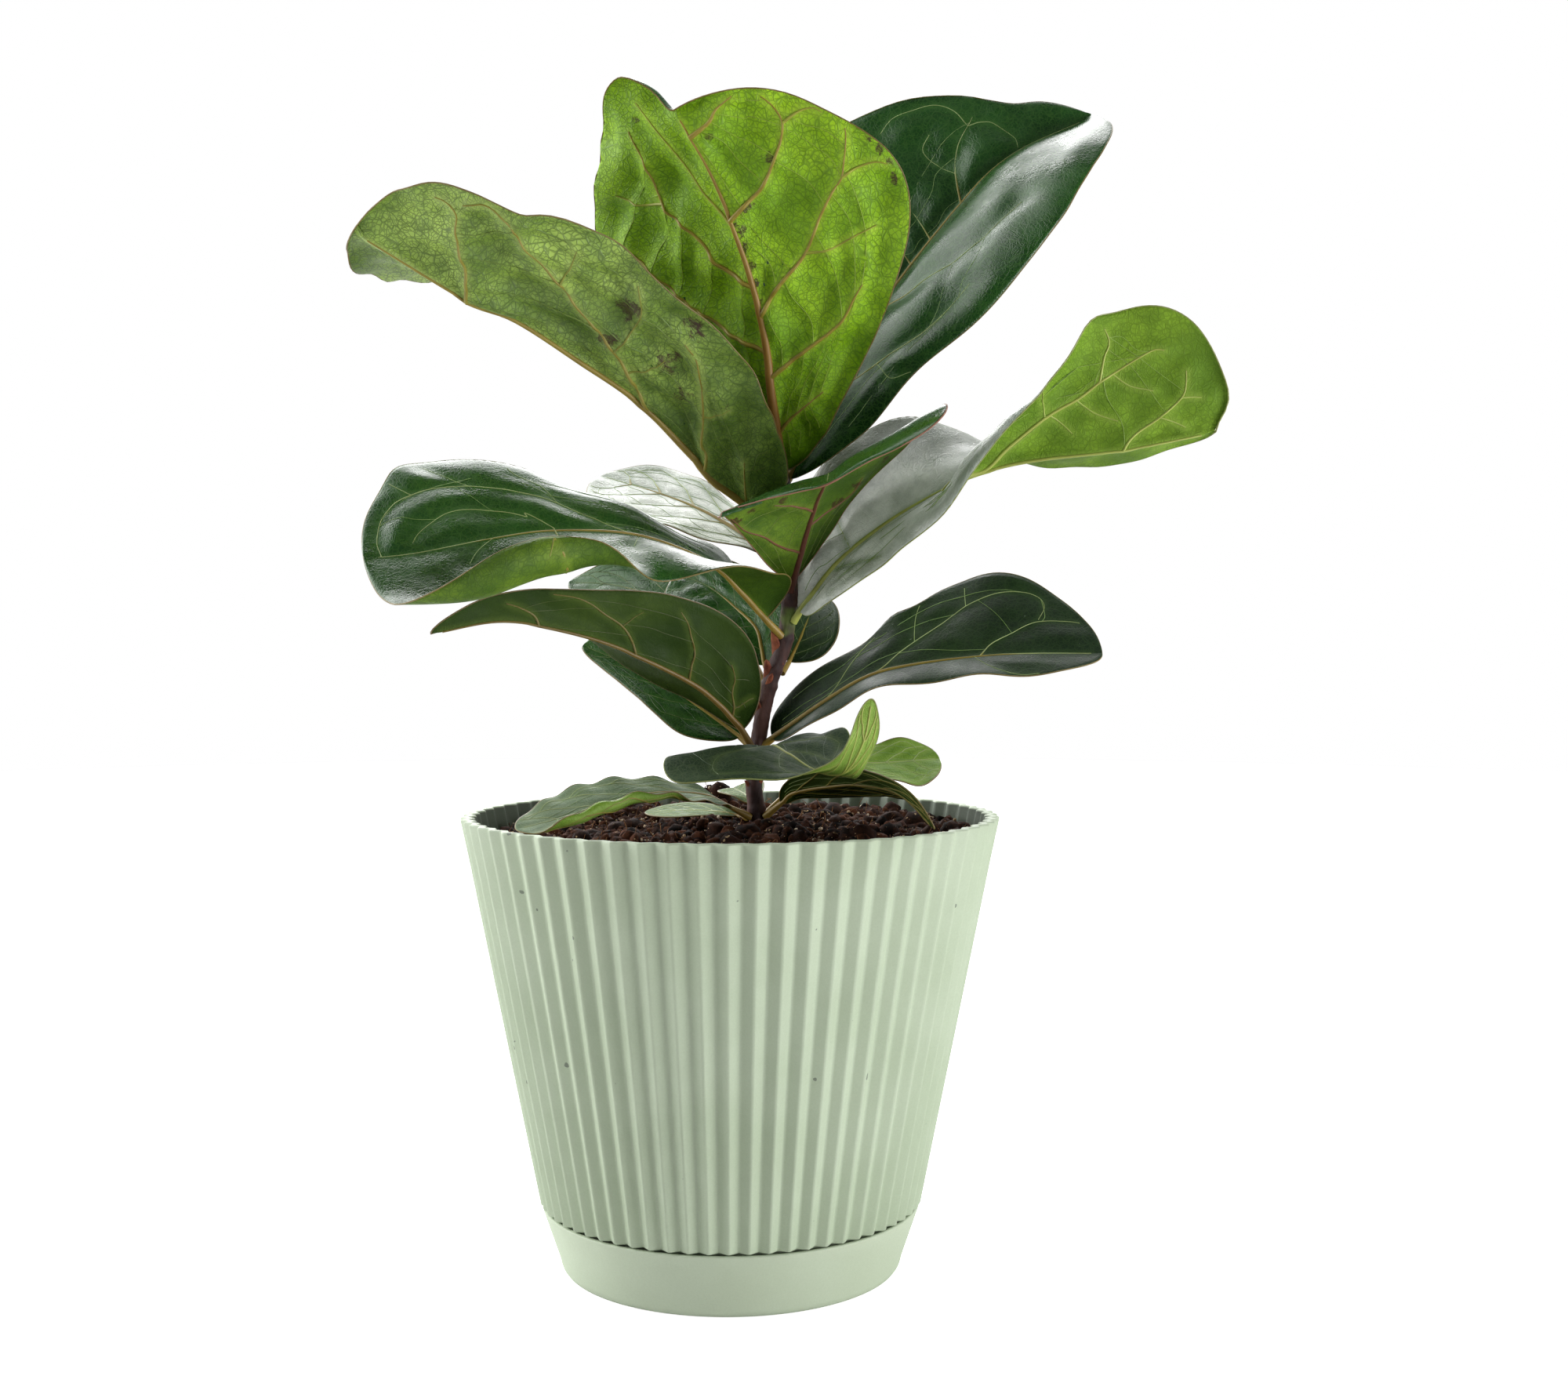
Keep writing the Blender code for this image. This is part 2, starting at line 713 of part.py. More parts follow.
def ring_solid(name, rings, middle_first, middle_last, material, turned=()):
    """Solid of rings that lead from the middle of its underside outwards and back to its middle.

    The bands in turned are split into triangles along their other diagonal.
    """
    count = len(rings[0])
    points = [point for ring in rings for point in ring]
    first = len(points)
    points.append(middle_first)
    points.append(middle_last)
    faces = []
    for step in range(count):
        following = (step + 1) % count
        faces.append((first, following, step))
        last_ring = (len(rings) - 1) * count
        faces.append((first + 1, last_ring + step, last_ring + following))
        for ring in range(len(rings) - 1):
            low = ring * count
            high = low + count
            if ring in turned:
                faces.append((low + step, low + following, high + step))
                faces.append((low + following, high + following, high + step))
            else:
                faces.append((low + step, low + following, high + following))
                faces.append((low + step, high + following, high + step))
    return solid_object(name, points, faces, material)


def pot_radius(height):
    """Outer radius of the pleat ridges at a height."""
    share = (height - POT_SHOULDER_HEIGHT) / (POT_RIM_HEIGHT - POT_SHOULDER_HEIGHT)
    return POT_SHOULDER_RADIUS + share * (POT_RIM_RADIUS - POT_SHOULDER_RADIUS)


def build_pot():
    """Pleated pot with a plain foot that stands in the saucer."""
    glaze = paint("pot", (0.560, 0.640, 0.500, 1.0), 0.55)
    foot_bottom = SAUCER_FLOOR + SEAT_GAP
    floor_top = foot_bottom + POT_FLOOR
    rings = [
        plain_ring(FOOT_BOTTOM_RADIUS, foot_bottom),
        plain_ring(FOOT_TOP_RADIUS, POT_SHOULDER_HEIGHT),
        pleated_ring(POT_SHOULDER_RADIUS, POT_SHOULDER_HEIGHT),
        pleated_ring(POT_RIM_RADIUS, POT_RIM_HEIGHT),
        pleated_ring(POT_RIM_RADIUS - POT_WALL, POT_RIM_HEIGHT),
        pleated_ring(pot_radius(INNER_SHOULDER_HEIGHT) - POT_WALL, INNER_SHOULDER_HEIGHT),
        plain_ring(FOOT_TOP_RADIUS - FOOT_WALL, POT_SHOULDER_HEIGHT),
        plain_ring(FOOT_BOTTOM_RADIUS - FOOT_WALL, floor_top),
    ]
    return ring_solid("pot", rings, (0.0, 0.0, foot_bottom), (0.0, 0.0, floor_top), glaze)


def build_saucer():
    """Saucer with a smooth flaring wall."""
    glaze = paint("saucer", (0.560, 0.640, 0.500, 1.0), 0.55)
    profile = (
        (SAUCER_BOTTOM_RADIUS, 0.0),
        (SAUCER_BOTTOM_RADIUS + 1.0 * MM, 1.2 * MM),
        (SAUCER_BOTTOM_RADIUS + 1.7 * MM, 3.8 * MM),
        (SAUCER_LIP_RADIUS, SAUCER_HEIGHT - 0.6 * MM),
        (SAUCER_LIP_RADIUS - 0.5 * MM, SAUCER_HEIGHT),
        (SAUCER_LIP_RADIUS - SAUCER_LIP, SAUCER_HEIGHT),
        (SAUCER_INNER_BOTTOM_RADIUS, SAUCER_FLOOR),
    )
    rings = [plain_ring(radius, height, SAUCER_SEGMENTS, 0.0) for radius, height in profile]
    return ring_solid("saucer", rings, (0.0, 0.0, 0.0), (0.0, 0.0, SAUCER_FLOOR), glaze)


def soil_height(x, y):
    """Height of the soil at a place."""
    level = SOIL_LEVEL + SOIL_TILT_X * x + SOIL_TILT_Y * y
    from_stem = math.hypot(x - STEM_FOOT[0] * MM, y - STEM_FOOT[1] * MM)
    mound = MOUND_HEIGHT * math.exp(-0.5 * (from_stem / MOUND_SPREAD) ** 2)
    from_clod = math.hypot(x - CLOD_PLACE[0], y - CLOD_PLACE[1])
    clod = CLOD_HEIGHT * math.exp(-0.5 * (from_clod / CLOD_SPREAD) ** 2)
    lumps = math.sin(310.0 * x + 1.3) * math.sin(270.0 * y + 0.4) + 0.6 * math.sin(590.0 * (x + 0.7 * y))
    return level + mound + clod + SOIL_LUMP * lumps


def build_soil(stem_room):
    """Soil that fills the pot, with a plain hole for the stem."""
    earth = paint("soil", (0.035, 0.018, 0.012, 1.0), 0.95)
    bottom = SAUCER_FLOOR + SEAT_GAP + POT_FLOOR + SEAT_GAP
    low_radius = FOOT_BOTTOM_RADIUS - FOOT_WALL - SOIL_GAP
    shoulder_radius = FOOT_TOP_RADIUS - FOOT_WALL - SOIL_GAP
    shoulder_top = INNER_SHOULDER_HEIGHT + SEAT_GAP
    edge_radius = pot_radius(SOIL_LEVEL) - POT_WALL - SOIL_GAP
    rings = [
        plain_ring(low_radius, bottom),
        plain_ring(shoulder_radius, POT_SHOULDER_HEIGHT),
        pleated_ring(pot_radius(shoulder_top) - POT_WALL - SOIL_GAP, shoulder_top),
    ]
    edge = []
    for x, y, _ in pleated_ring(edge_radius, SOIL_LEVEL):
        height = soil_height(x, y)
        radius = math.hypot(x, y)
        reach = (radius + pot_radius(height) - pot_radius(SOIL_LEVEL)) / radius
        edge.append((x * reach, y * reach, height))
    rings.append(edge)
    centre_x = STEM_FOOT[0] * MM
    centre_y = STEM_FOOT[1] * MM
    for share in SOIL_RINGS:
        ring = []
        for x, y, _ in plain_ring(edge_radius * share, SOIL_LEVEL):
            moved_x = x + centre_x * (1.0 - share)
            moved_y = y + centre_y * (1.0 - share)
            ring.append((moved_x, moved_y, soil_height(moved_x, moved_y)))
        rings.append(ring)
    top = (centre_x, centre_y, soil_height(centre_x, centre_y))
    soil = ring_solid("soil", rings, (0.0, 0.0, bottom), top, earth, turned=(1, 2))
    combine(soil, stem_room, "DIFFERENCE")
    return soil


def main():
    """Build the plant from the ground up."""
    clear_scene()
    stem_room = build_stem_room()
    build_saucer()
    build_pot()
    build_soil(stem_room)
    build_stem()
    for form in LEAVES:
        build_leaf(form, stem_room)


main()
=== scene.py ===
import logging
import math
from dataclasses import dataclass
from enum import Enum
from typing import Any

import bpy
import numpy as np
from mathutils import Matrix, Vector, kdtree


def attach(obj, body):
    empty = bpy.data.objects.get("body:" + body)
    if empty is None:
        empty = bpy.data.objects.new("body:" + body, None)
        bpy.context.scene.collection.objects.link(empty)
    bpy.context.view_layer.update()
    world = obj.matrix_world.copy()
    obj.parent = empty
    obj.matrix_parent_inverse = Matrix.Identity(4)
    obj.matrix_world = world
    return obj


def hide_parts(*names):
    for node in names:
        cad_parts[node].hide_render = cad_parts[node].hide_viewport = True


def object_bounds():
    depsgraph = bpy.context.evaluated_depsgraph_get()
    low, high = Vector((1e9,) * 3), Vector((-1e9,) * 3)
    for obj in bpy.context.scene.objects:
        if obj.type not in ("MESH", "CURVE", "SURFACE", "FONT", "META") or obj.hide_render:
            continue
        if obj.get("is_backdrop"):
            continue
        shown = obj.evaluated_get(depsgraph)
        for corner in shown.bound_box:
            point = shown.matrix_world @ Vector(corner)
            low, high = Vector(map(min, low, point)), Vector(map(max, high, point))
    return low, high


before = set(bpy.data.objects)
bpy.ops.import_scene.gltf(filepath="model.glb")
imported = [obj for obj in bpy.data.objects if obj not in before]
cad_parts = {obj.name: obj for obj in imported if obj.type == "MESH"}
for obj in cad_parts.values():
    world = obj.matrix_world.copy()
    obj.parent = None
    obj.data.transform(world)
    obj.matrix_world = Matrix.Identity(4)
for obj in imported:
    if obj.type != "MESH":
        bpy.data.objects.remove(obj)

Array = np.ndarray
Point = tuple[float, float, float]
Colour = tuple[float, float, float, float]
Swatch = tuple[int, int, int]
Faces = list[tuple[int, ...]]
Thing = bpy.types.Object
Material = bpy.types.Material
Node = bpy.types.Node
NodeTree = bpy.types.NodeTree
Socket = bpy.types.NodeSocket

MM = 0.001
DECIMETRE = 100.0
LOG = logging.getLogger("fiddle_leaf_fig")


class Side(Enum):
    """Half of a leaf, seen from its upper side with the tip ahead."""

    LEFT = -1
    RIGHT = 1


class Skin(Enum):
    """One of the two faces of a leaf."""

    UPPER = 1
    UNDER = -1


def srgb(red: int, green: int, blue: int) -> Colour:
    """Linear colour of an 8-bit swatch.

    Args:
        red: Red of the swatch, 0 to 255.
        green: Green of the swatch.
        blue: Blue of the swatch.

    Returns:
        The colour with full opacity.
    """
    parts = []
    for value in (red, green, blue):
        share = value / 255.0
        parts.append(share / 12.92 if share <= 0.04045 else ((share + 0.055) / 1.055) ** 2.4)
    return (parts[0], parts[1], parts[2], 1.0)


# Node trees


class Tree:
    """Short calls for the nodes of one tree."""

    def __init__(self, tree: NodeTree) -> None:
        """Keep the tree that the calls work on."""
        self.tree = tree

    def add(self, kind: str, inputs: dict[Any, Any] | None = None, **settings: Any) -> Node:
        """Add a node.

        Args:
            kind: Name of the node's type.
            inputs: Sockets by name or number, each with a value or with what feeds it.
            settings: Properties of the node.

        Returns:
            The new node.
        """
        node = self.tree.nodes.new(kind)
        for name, value in settings.items():
            setattr(node, name, value)
        for key, value in (inputs or {}).items():
            self.feed(node.inputs[key], value)
        return node

    def feed(self, socket: Socket, value: Any) -> None:
        """Join something to a socket.

        Args:
            socket: The socket.
            value: An output, a node whose first output is meant, a swatch for a colour, or a plain value.
        """
        if isinstance(value, Node):
            value = value.outputs[0]
        if isinstance(value, Socket):
            self.tree.links.new(value, socket)
        elif socket.type == "RGBA" and len(value) == 3:
            socket.default_value = srgb(*value)
        else:
            socket.default_value = value

    def math(self, operation: str, first: Any, second: Any = 0.0) -> Socket:
        """Result of a sum of two values or outputs."""
        return self.add("ShaderNodeMath", {0: first, 1: second}, operation=operation).outputs[0]

    def times(self, first: Any, second: Any) -> Socket:
        """Product of two values or outputs."""
        return self.math("MULTIPLY", first, second)

    def plus(self, first: Any, second: Any) -> Socket:
        """Two values or outputs added up."""
        return self.math("ADD", first, second)

    def ramp(self, value: Any, low: Any, high: Any, start: float = 0.0, end: float = 1.0) -> Socket:
        """Value moved smoothly from one range to another and held at its ends."""
        inputs = {0: value, 1: low, 2: high, 3: start, 4: end}
        return self.add("ShaderNodeMapRange", inputs, interpolation_type="SMOOTHSTEP").outputs[0]

    def blend(self, share: Any, first: Any, second: Any, mode: str = "MIX") -> Socket:
        """Colour between two colours."""
        inputs = {0: share, 6: first, 7: second}
        return self.add("ShaderNodeMix", inputs, data_type="RGBA", blend_type=mode).outputs[2]

    def noise(self, vector: Any, scale: Any, detail: float = 3.0, roughness: float = 0.55) -> Socket:
        """Cloudy noise from 0 to 1."""
        inputs = {"Vector": vector, "Scale": scale, "Detail": detail, "Roughness": roughness}
        return self.add("ShaderNodeTexNoise", inputs).outputs["Fac"]

    def vectors(self, operation: str, first: Any, second: Any) -> Node:
        """Result of a sum of two vectors."""
        return self.add("ShaderNodeVectorMath", {0: first, 1: second}, operation=operation)

    def wander(self, noise: Node, amount: Any) -> Node:
        """Shift in any direction, from a noise's colour."""
        middle = self.vectors("SUBTRACT", noise.outputs["Color"], (0.5, 0.5, 0.5))
        return self.add("ShaderNodeVectorMath", {0: middle, "Scale": amount}, operation="SCALE")

    def attribute(self, name: str) -> Socket:
        """Number kept on the mesh."""
        return self.add("ShaderNodeAttribute", attribute_name=name).outputs["Fac"]

    def place(self) -> Socket:
        """Place on the object."""
        return self.add("ShaderNodeTexCoord").outputs["Object"]

    def group(self, group: NodeTree, **inputs: Any) -> Node:
        """A group with its inputs."""
        return self.add("ShaderNodeGroup", inputs, node_tree=group)

    def colour(self, shader: Node, value: Any) -> None:
        """Feed the shader's base colour."""
        self.feed(shader.inputs["Base Color"], value)

    def bump(self, shader: Node, height: Any, strength: float, distance: float) -> None:
        """Feed a height to the shader's normal."""
        inputs = {"Strength": strength, "Distance": distance, "Height": height}
        self.feed(shader.inputs["Normal"], self.add("ShaderNodeBump", inputs))


NUMBER = "NodeSocketFloat"
VECTOR = "NodeSocketVector"
WHOLE = "NodeSocketInt"
GEOMETRY = "NodeSocketGeometry"
MATERIAL = "NodeSocketMaterial"


def new_group(
    name: str, inputs: dict[str, str], outputs: dict[str, str], kind: str = "ShaderNodeTree"
) -> tuple[Tree, Any, Any]:
    """Start a node group with named sockets.

    Args:
        name: Name of the group.
        inputs: Socket type by input name.
        outputs: Socket type by output name.
        kind: Type of the tree.

    Returns:
        The tree, what it is given by name, and the sockets of its result.
    """
    group = bpy.data.node_groups.new(name, kind)
    for side, sockets in (("INPUT", inputs), ("OUTPUT", outputs)):
        for title, socket in sockets.items():
            group.interface.new_socket(name=title, in_out=side, socket_type=socket)
    tree = Tree(group)
    return tree, tree.add("NodeGroupInput").outputs, tree.add("NodeGroupOutput").inputs


class Effects:
    """Shader groups that several finishes share."""

    def __init__(self) -> None:
        """Build the groups once."""
        self.net = self.build_net()
        self.blotch = self.build_blotch()
        self.grain = self.build_grain()

    @staticmethod
    def build_net() -> NodeTree:
        """Net of fine veins: lines round small cells."""
        sockets = {"Vector": VECTOR, "Cells": NUMBER, "Line": NUMBER, "Wander": NUMBER}
        tree, given, result = new_group("fine_vein_net", sockets, {"Mask": NUMBER})
        drift = tree.add("ShaderNodeTexNoise", {"Vector": given["Vector"], "Scale": 9.0, "Detail": 2.0})
        moved = tree.vectors("ADD", given["Vector"], tree.wander(drift, given["Wander"]))
        inputs = {"Vector": moved, "Scale": given["Cells"]}
        cells = tree.add("ShaderNodeTexVoronoi", inputs, feature="DISTANCE_TO_EDGE")
        tree.feed(result["Mask"], tree.ramp(cells.outputs["Distance"], 0.0, given["Line"], 1.0, 0.0))
        return tree.tree

    @staticmethod
    def build_blotch() -> NodeTree:
        """Ragged spots that show where the amount is high."""
        sockets = {"Vector": VECTOR, "Scale": NUMBER, "Amount": NUMBER}
        tree, given, result = new_group("ragged_blotches", sockets, {"Mask": NUMBER})
        level = tree.plus(tree.noise(given["Vector"], given["Scale"], 5.0, 0.7), given["Amount"])
        tree.feed(result["Mask"], tree.ramp(level, 0.98, 1.1))
        return tree.tree

    @staticmethod
    def build_grain() -> NodeTree:
        """Fine grain of a matt moulded surface, as a colour share and a height."""
        sockets = {"Vector": VECTOR, "Scale": NUMBER}
        tree, given, result = new_group("fine_grain", sockets, {"Tone": NUMBER, "Height": NUMBER})
        fine = tree.noise(given["Vector"], given["Scale"], 3.0, 0.7)
        tree.feed(result["Height"], fine)
        tree.feed(result["Tone"], tree.ramp(fine, 0.25, 0.75))
        return tree.tree


def new_material(name: str) -> tuple[Material, Tree, Node]:
    """Start a material with one Principled shader.

    Args:
        name: Name of the material.

    Returns:
        The material, its tree and its shader.
    """
    material = bpy.data.materials.new(name)
    material.use_nodes = True
    return material, Tree(material.node_tree), material.node_tree.nodes["Principled BSDF"]


# Finishes


@dataclass(frozen=True)
class SkinFinish:
    """Look of one face of a leaf."""

    name: str
    base: Swatch
    shade: Swatch
    net: Swatch
    glow: Swatch
    roughness: float = 0.42
    net_share: float = 0.35
    bump: float = 0.5
    net_height: float = 0.5
    spots: float = 0.0
    specular: float = 0.6
    # Share of painted shade, laid in random patches the size of the quilted cells.
    patches: float = 0.35
    speckle: Swatch = (62, 32, 26)
    # Near-white colour of the painted sheen, a reflection laid into the top skin's colour.
    bloom: Swatch = (228, 232, 224)

    def material(self, effects: Effects) -> Material:
        """Make the material.

        Args:
            effects: Shader groups to use.

        Returns:
            Material that reads the leaf's flat map and its attributes.
        """
        material, tree, shader = new_material(self.name)
        flat = tree.add("ShaderNodeUVMap", uv_map="flat")
        cloud = tree.ramp(tree.noise(flat, 3.2, 4.0), 0.30, 0.72)
        colour = tree.blend(cloud, self.base, self.shade)
        # Painted shade: random darker patches the size of the quilted cells, standing in for shade in their
        # hollows.
        hollow_shade = tree.ramp(tree.noise(flat, 9.0, 2.0), 0.42, 0.66)
        colour = tree.blend(tree.times(hollow_shade, self.patches), colour, self.shade)
        # Painted shade: darker near the base of the blade, where the leaves round the stem shade it.
        deep = tree.blend(1.0, colour, (0.42, 0.46, 0.5, 1.0), "MULTIPLY")
        colour = tree.blend(tree.attribute("base_shade"), colour, deep)
        coarse = tree.group(effects.net, Vector=flat, Cells=30.0, Line=0.07, Wander=0.05)
        fine = tree.group(effects.net, Vector=flat, Cells=75.0, Line=0.13, Wander=0.03)
        lines = tree.math("MAXIMUM", coarse, tree.times(fine, 0.8))
        colour = tree.blend(tree.times(lines, self.net_share), colour, self.net)
        # Painted sheen: near-white streaks on the inner part of the top skin, standing in for a reflection
        # of the bright surroundings.
        sheen_streaks = tree.ramp(tree.noise(flat, 9.0, 5.0, 0.7), 0.30, 0.62, 0.62, 1.0)
        colour = tree.blend(tree.times(tree.attribute("bloom"), sheen_streaks), colour, self.bloom)
        near = tree.ramp(tree.attribute("vein_gap"), 0.0, 2.6, 0.55, 0.0)
        colour = tree.blend(near, colour, self.glow)
        scar = tree.group(effects.blotch, Vector=flat, Scale=30.0, Amount=tree.attribute("scar"))
        marks = tree.times(scar, tree.plus(tree.times(lines, 0.3), 0.65))
        colour = tree.blend(marks, colour, self.speckle)
        if self.spots:
            dots = tree.ramp(tree.noise(flat, 38.0, 2.0), 0.74 - self.spots, 0.80 - self.spots)
            colour = tree.blend(tree.times(dots, 0.5), colour, (150, 160, 150))
        tree.colour(shader, colour)
        shiny, matt = self.roughness - 0.05, self.roughness + 0.08
        tree.feed(shader.inputs["Roughness"], tree.ramp(tree.noise(flat, 11.0, 3.0), 0.3, 0.7, shiny, matt))
        shader.inputs["Specular IOR Level"].default_value = self.specular
        # The painted shade near the base also lowers the specular level there.
        hidden = tree.ramp(tree.attribute("base_shade"), 0.0, 1.0, self.specular, 0.0)
        tree.feed(shader.inputs["Specular IOR Level"], hidden)
        dents = tree.noise(flat, 34.0, 2.0, 0.5)
        height = tree.plus(tree.times(dents, 0.8), tree.times(lines, self.net_height))
        tree.bump(shader, height, self.bump, 0.3 * MM)
        return material


@dataclass(frozen=True)
class VeinFinish:
    """Look of the veins of one face of a leaf, from the midrib to the margin."""

    name: str
    midrib: Swatch
    lateral: Swatch
    link: Swatch
    margin: Swatch
    roughness: float = 0.45

    def material(self, effects: Effects) -> Material:
        """Make the material.

        Args:
            effects: Shader groups to use.

        Returns:
            Material that reads the rank of each vein.
        """
        material, tree, shader = new_material(self.name)
        ramp = tree.add("ShaderNodeValToRGB", {0: tree.attribute("rank")})
        stops = ((0.0, self.midrib), (0.35, self.lateral), (0.7, self.link), (1.0, self.margin))
        for number, (place, colour) in enumerate(stops):
            if number < 2:
                element = ramp.color_ramp.elements[number]
                element.position = place
            else:
                element = ramp.color_ramp.elements.new(place)
            element.color = srgb(*colour)
        place = tree.place()
        patches = tree.ramp(tree.noise(place, 130.0, 3.0), 0.35, 0.7)
        darker = tree.blend(1.0, ramp, (190, 168, 130), "MULTIPLY")
        colour = tree.blend(tree.times(patches, 0.4), ramp, darker)
        tree.colour(shader, colour)
        shader.inputs["Roughness"].default_value = self.roughness
        grain = tree.group(effects.grain, Vector=place, Scale=2600.0)
        tree.bump(shader, grain.outputs["Height"], 0.25, 0.1 * MM)
        return material


@dataclass(frozen=True)
class PotFinish:
    """Matt sage green plastic of the pot and its saucer."""

    name: str
    base: Swatch = (188, 201, 177)
    shade: Swatch = (180, 194, 168)
    scuff: Swatch = (86, 92, 84)
    # Colour of the painted shade on the inside of the pot's wall.
    inner: Swatch = (46, 60, 48)
    scuffs: float = 0.0

    def material(self, effects: Effects) -> Material:
        """Make the material.

        Args:
            effects: Shader groups to use.

        Returns:
            Material with a fine grain, a few small scuffs and painted shade inside the wall.
        """
        material, tree, shader = new_material(self.name)
        place = tree.place()
        cloud = tree.ramp(tree.noise(place, 26.0, 3.0), 0.3, 0.7)
        colour = tree.blend(cloud, self.base, self.shade)
        grain = tree.group(effects.grain, Vector=place, Scale=1500.0)
        darker = tree.blend(1.0, colour, (226, 228, 222), "MULTIPLY")
        colour = tree.blend(tree.times(grain, 0.22), colour, darker)
        # Painted shade: darker where the mesh marks the inside of the wall.
        colour = tree.blend(tree.times(tree.attribute("inner"), 0.8), colour, self.inner)
        marks = tree.ramp(tree.noise(place, 210.0, 1.0), 0.785 - self.scuffs, 0.80 - self.scuffs)
        colour = tree.blend(tree.times(marks, 0.7), colour, self.scuff)
        tree.colour(shader, colour)
        tree.feed(shader.inputs["Roughness"], tree.ramp(grain, 0.0, 1.0, 0.52, 0.64))
        tree.bump(shader, grain.outputs["Height"], 0.35, 0.12 * MM)
        return material


@dataclass(frozen=True)
class EarthFinish:
    """Moist potting soil or one of the grains in it."""

    name: str
    dark: Swatch
    light: Swatch
    roughness: float = 0.85
    scale: float = 420.0
    speck: Swatch = (196, 168, 130)
    specks: float = 0.0

    def material(self, effects: Effects) -> Material:
        """Make the material.

        Args:
            effects: Shader groups to use.

        Returns:
            Material that mixes its two colours in patches.
        """
        material, tree, shader = new_material(self.name)
        place = tree.place()
        broad = tree.noise(place, self.scale * 0.22, 3.0)
        fine = tree.noise(place, self.scale, 4.0, 0.7)
        both = tree.plus(tree.times(broad, 0.6), tree.times(fine, 0.5))
        share = tree.ramp(both, 0.42, 0.68)
        colour = tree.blend(share, self.dark, self.light)
        dots = tree.ramp(tree.noise(place, 620.0, 1.0), 0.76 - self.specks, 0.79 - self.specks)
        colour = tree.blend(tree.times(dots, 0.85), colour, self.speck)
        tree.colour(shader, colour)
        shader.inputs["Roughness"].default_value = self.roughness
        shader.inputs["Specular IOR Level"].default_value = 0.15
        grain = tree.group(effects.grain, Vector=place, Scale=self.scale * 3.0)
        tree.bump(shader, grain.outputs["Height"], 0.7, 0.3 * MM)
        return material


@dataclass(frozen=True)
class BarkFinish:
    """Young bark: purple-brown with green patches and pale fine cracks."""

    name: str
    brown: Swatch = (44, 20, 20)
    pale: Swatch = (80, 46, 38)
    green: Swatch = (92, 112, 44)

    def material(self, effects: Effects) -> Material:
        """Make the material.

        Args:
            effects: Not used.

        Returns:
            Material in patches that follow the stem upwards.
        """
        material, tree, shader = new_material(self.name)
        place = tree.place()
        tall = tree.add("ShaderNodeMapping", {"Vector": place, "Scale": (1.0, 1.0, 0.35)})
        patches = tree.ramp(tree.noise(tall, 150.0, 4.0), 0.35, 0.65)
        colour = tree.blend(patches, self.brown, self.pale)
        fresh = tree.ramp(tree.noise(place, 70.0, 2.0), 0.56, 0.66)
        colour = tree.blend(tree.times(fresh, 0.85), colour, self.green)
        tree.colour(shader, colour)
        shader.inputs["Roughness"].default_value = 0.7
        tree.bump(shader, tree.noise(tall, 900.0, 4.0, 0.7), 0.7, 0.5 * MM)
        return material


LIME_UNDER = SkinFinish(
    "leaf_underside_lime", (132, 166, 58), (100, 136, 40), (88, 124, 34), (150, 178, 84),
    roughness=0.55, net_share=0.50, bump=0.5, specular=0.25,
)
SHADED_LIME_UNDER = SkinFinish(
    "leaf_underside_shaded_lime", (112, 142, 40), (62, 92, 26), (54, 80, 24), (124, 146, 54),
    roughness=0.55, net_share=0.55, bump=0.6, specular=0.2, patches=0.6,
)
OUTER_UNDER = SkinFinish(
    "leaf_underside_outer", (134, 170, 50), (92, 126, 34), (84, 114, 32), (144, 172, 70),
    roughness=0.58, net_share=0.55, bump=0.7, specular=0.12, patches=0.6,
)
# Bright lime underside of the young crown leaf: its own colour, brightened with painted light for the light
# shining through it from behind.
CROWN_UNDER = SkinFinish(
    "leaf_underside_crown", (166, 210, 34), (122, 168, 22), (84, 120, 20), (172, 204, 62),
    roughness=0.50, net_share=0.70, bump=0.9, specular=0.3, patches=0.45,
)
MID_UNDER = SkinFinish(
    "leaf_underside_mid", (178, 208, 94), (104, 134, 50), (66, 90, 36), (172, 192, 100),
    roughness=0.42, net_share=0.75, bump=0.9, specular=0.5, patches=0.6,
)
# Dark olive underside: partly the leaves' own colour, partly painted shade for undersides that hang in
# shade.
OLIVE_UNDER = SkinFinish(
    "leaf_underside_olive", (62, 82, 26), (38, 58, 16), (44, 64, 20), (82, 100, 40),
    roughness=0.60, net_share=0.40, bump=0.4, specular=0.15,
)
DARK_UPPER = SkinFinish(
    "leaf_top_dark", (38, 84, 30), (22, 60, 20), (72, 112, 50), (62, 104, 44),
    roughness=0.27, net_share=0.45, bump=0.25, net_height=-0.5, specular=0.5,
)
GREY_UPPER = SkinFinish(
    "leaf_top_grey_green", (36, 58, 32), (22, 40, 24), (56, 78, 46), (56, 80, 44),
    roughness=0.42, net_share=0.40, bump=0.25, net_height=-0.5, spots=0.02, specular=0.3,
)
DULL_UPPER = SkinFinish(
    "leaf_top_dull", (66, 84, 58), (40, 58, 40), (88, 104, 72), (90, 108, 68),
    roughness=0.60, net_share=0.45, bump=0.35, net_height=-0.6, specular=0.10,
)
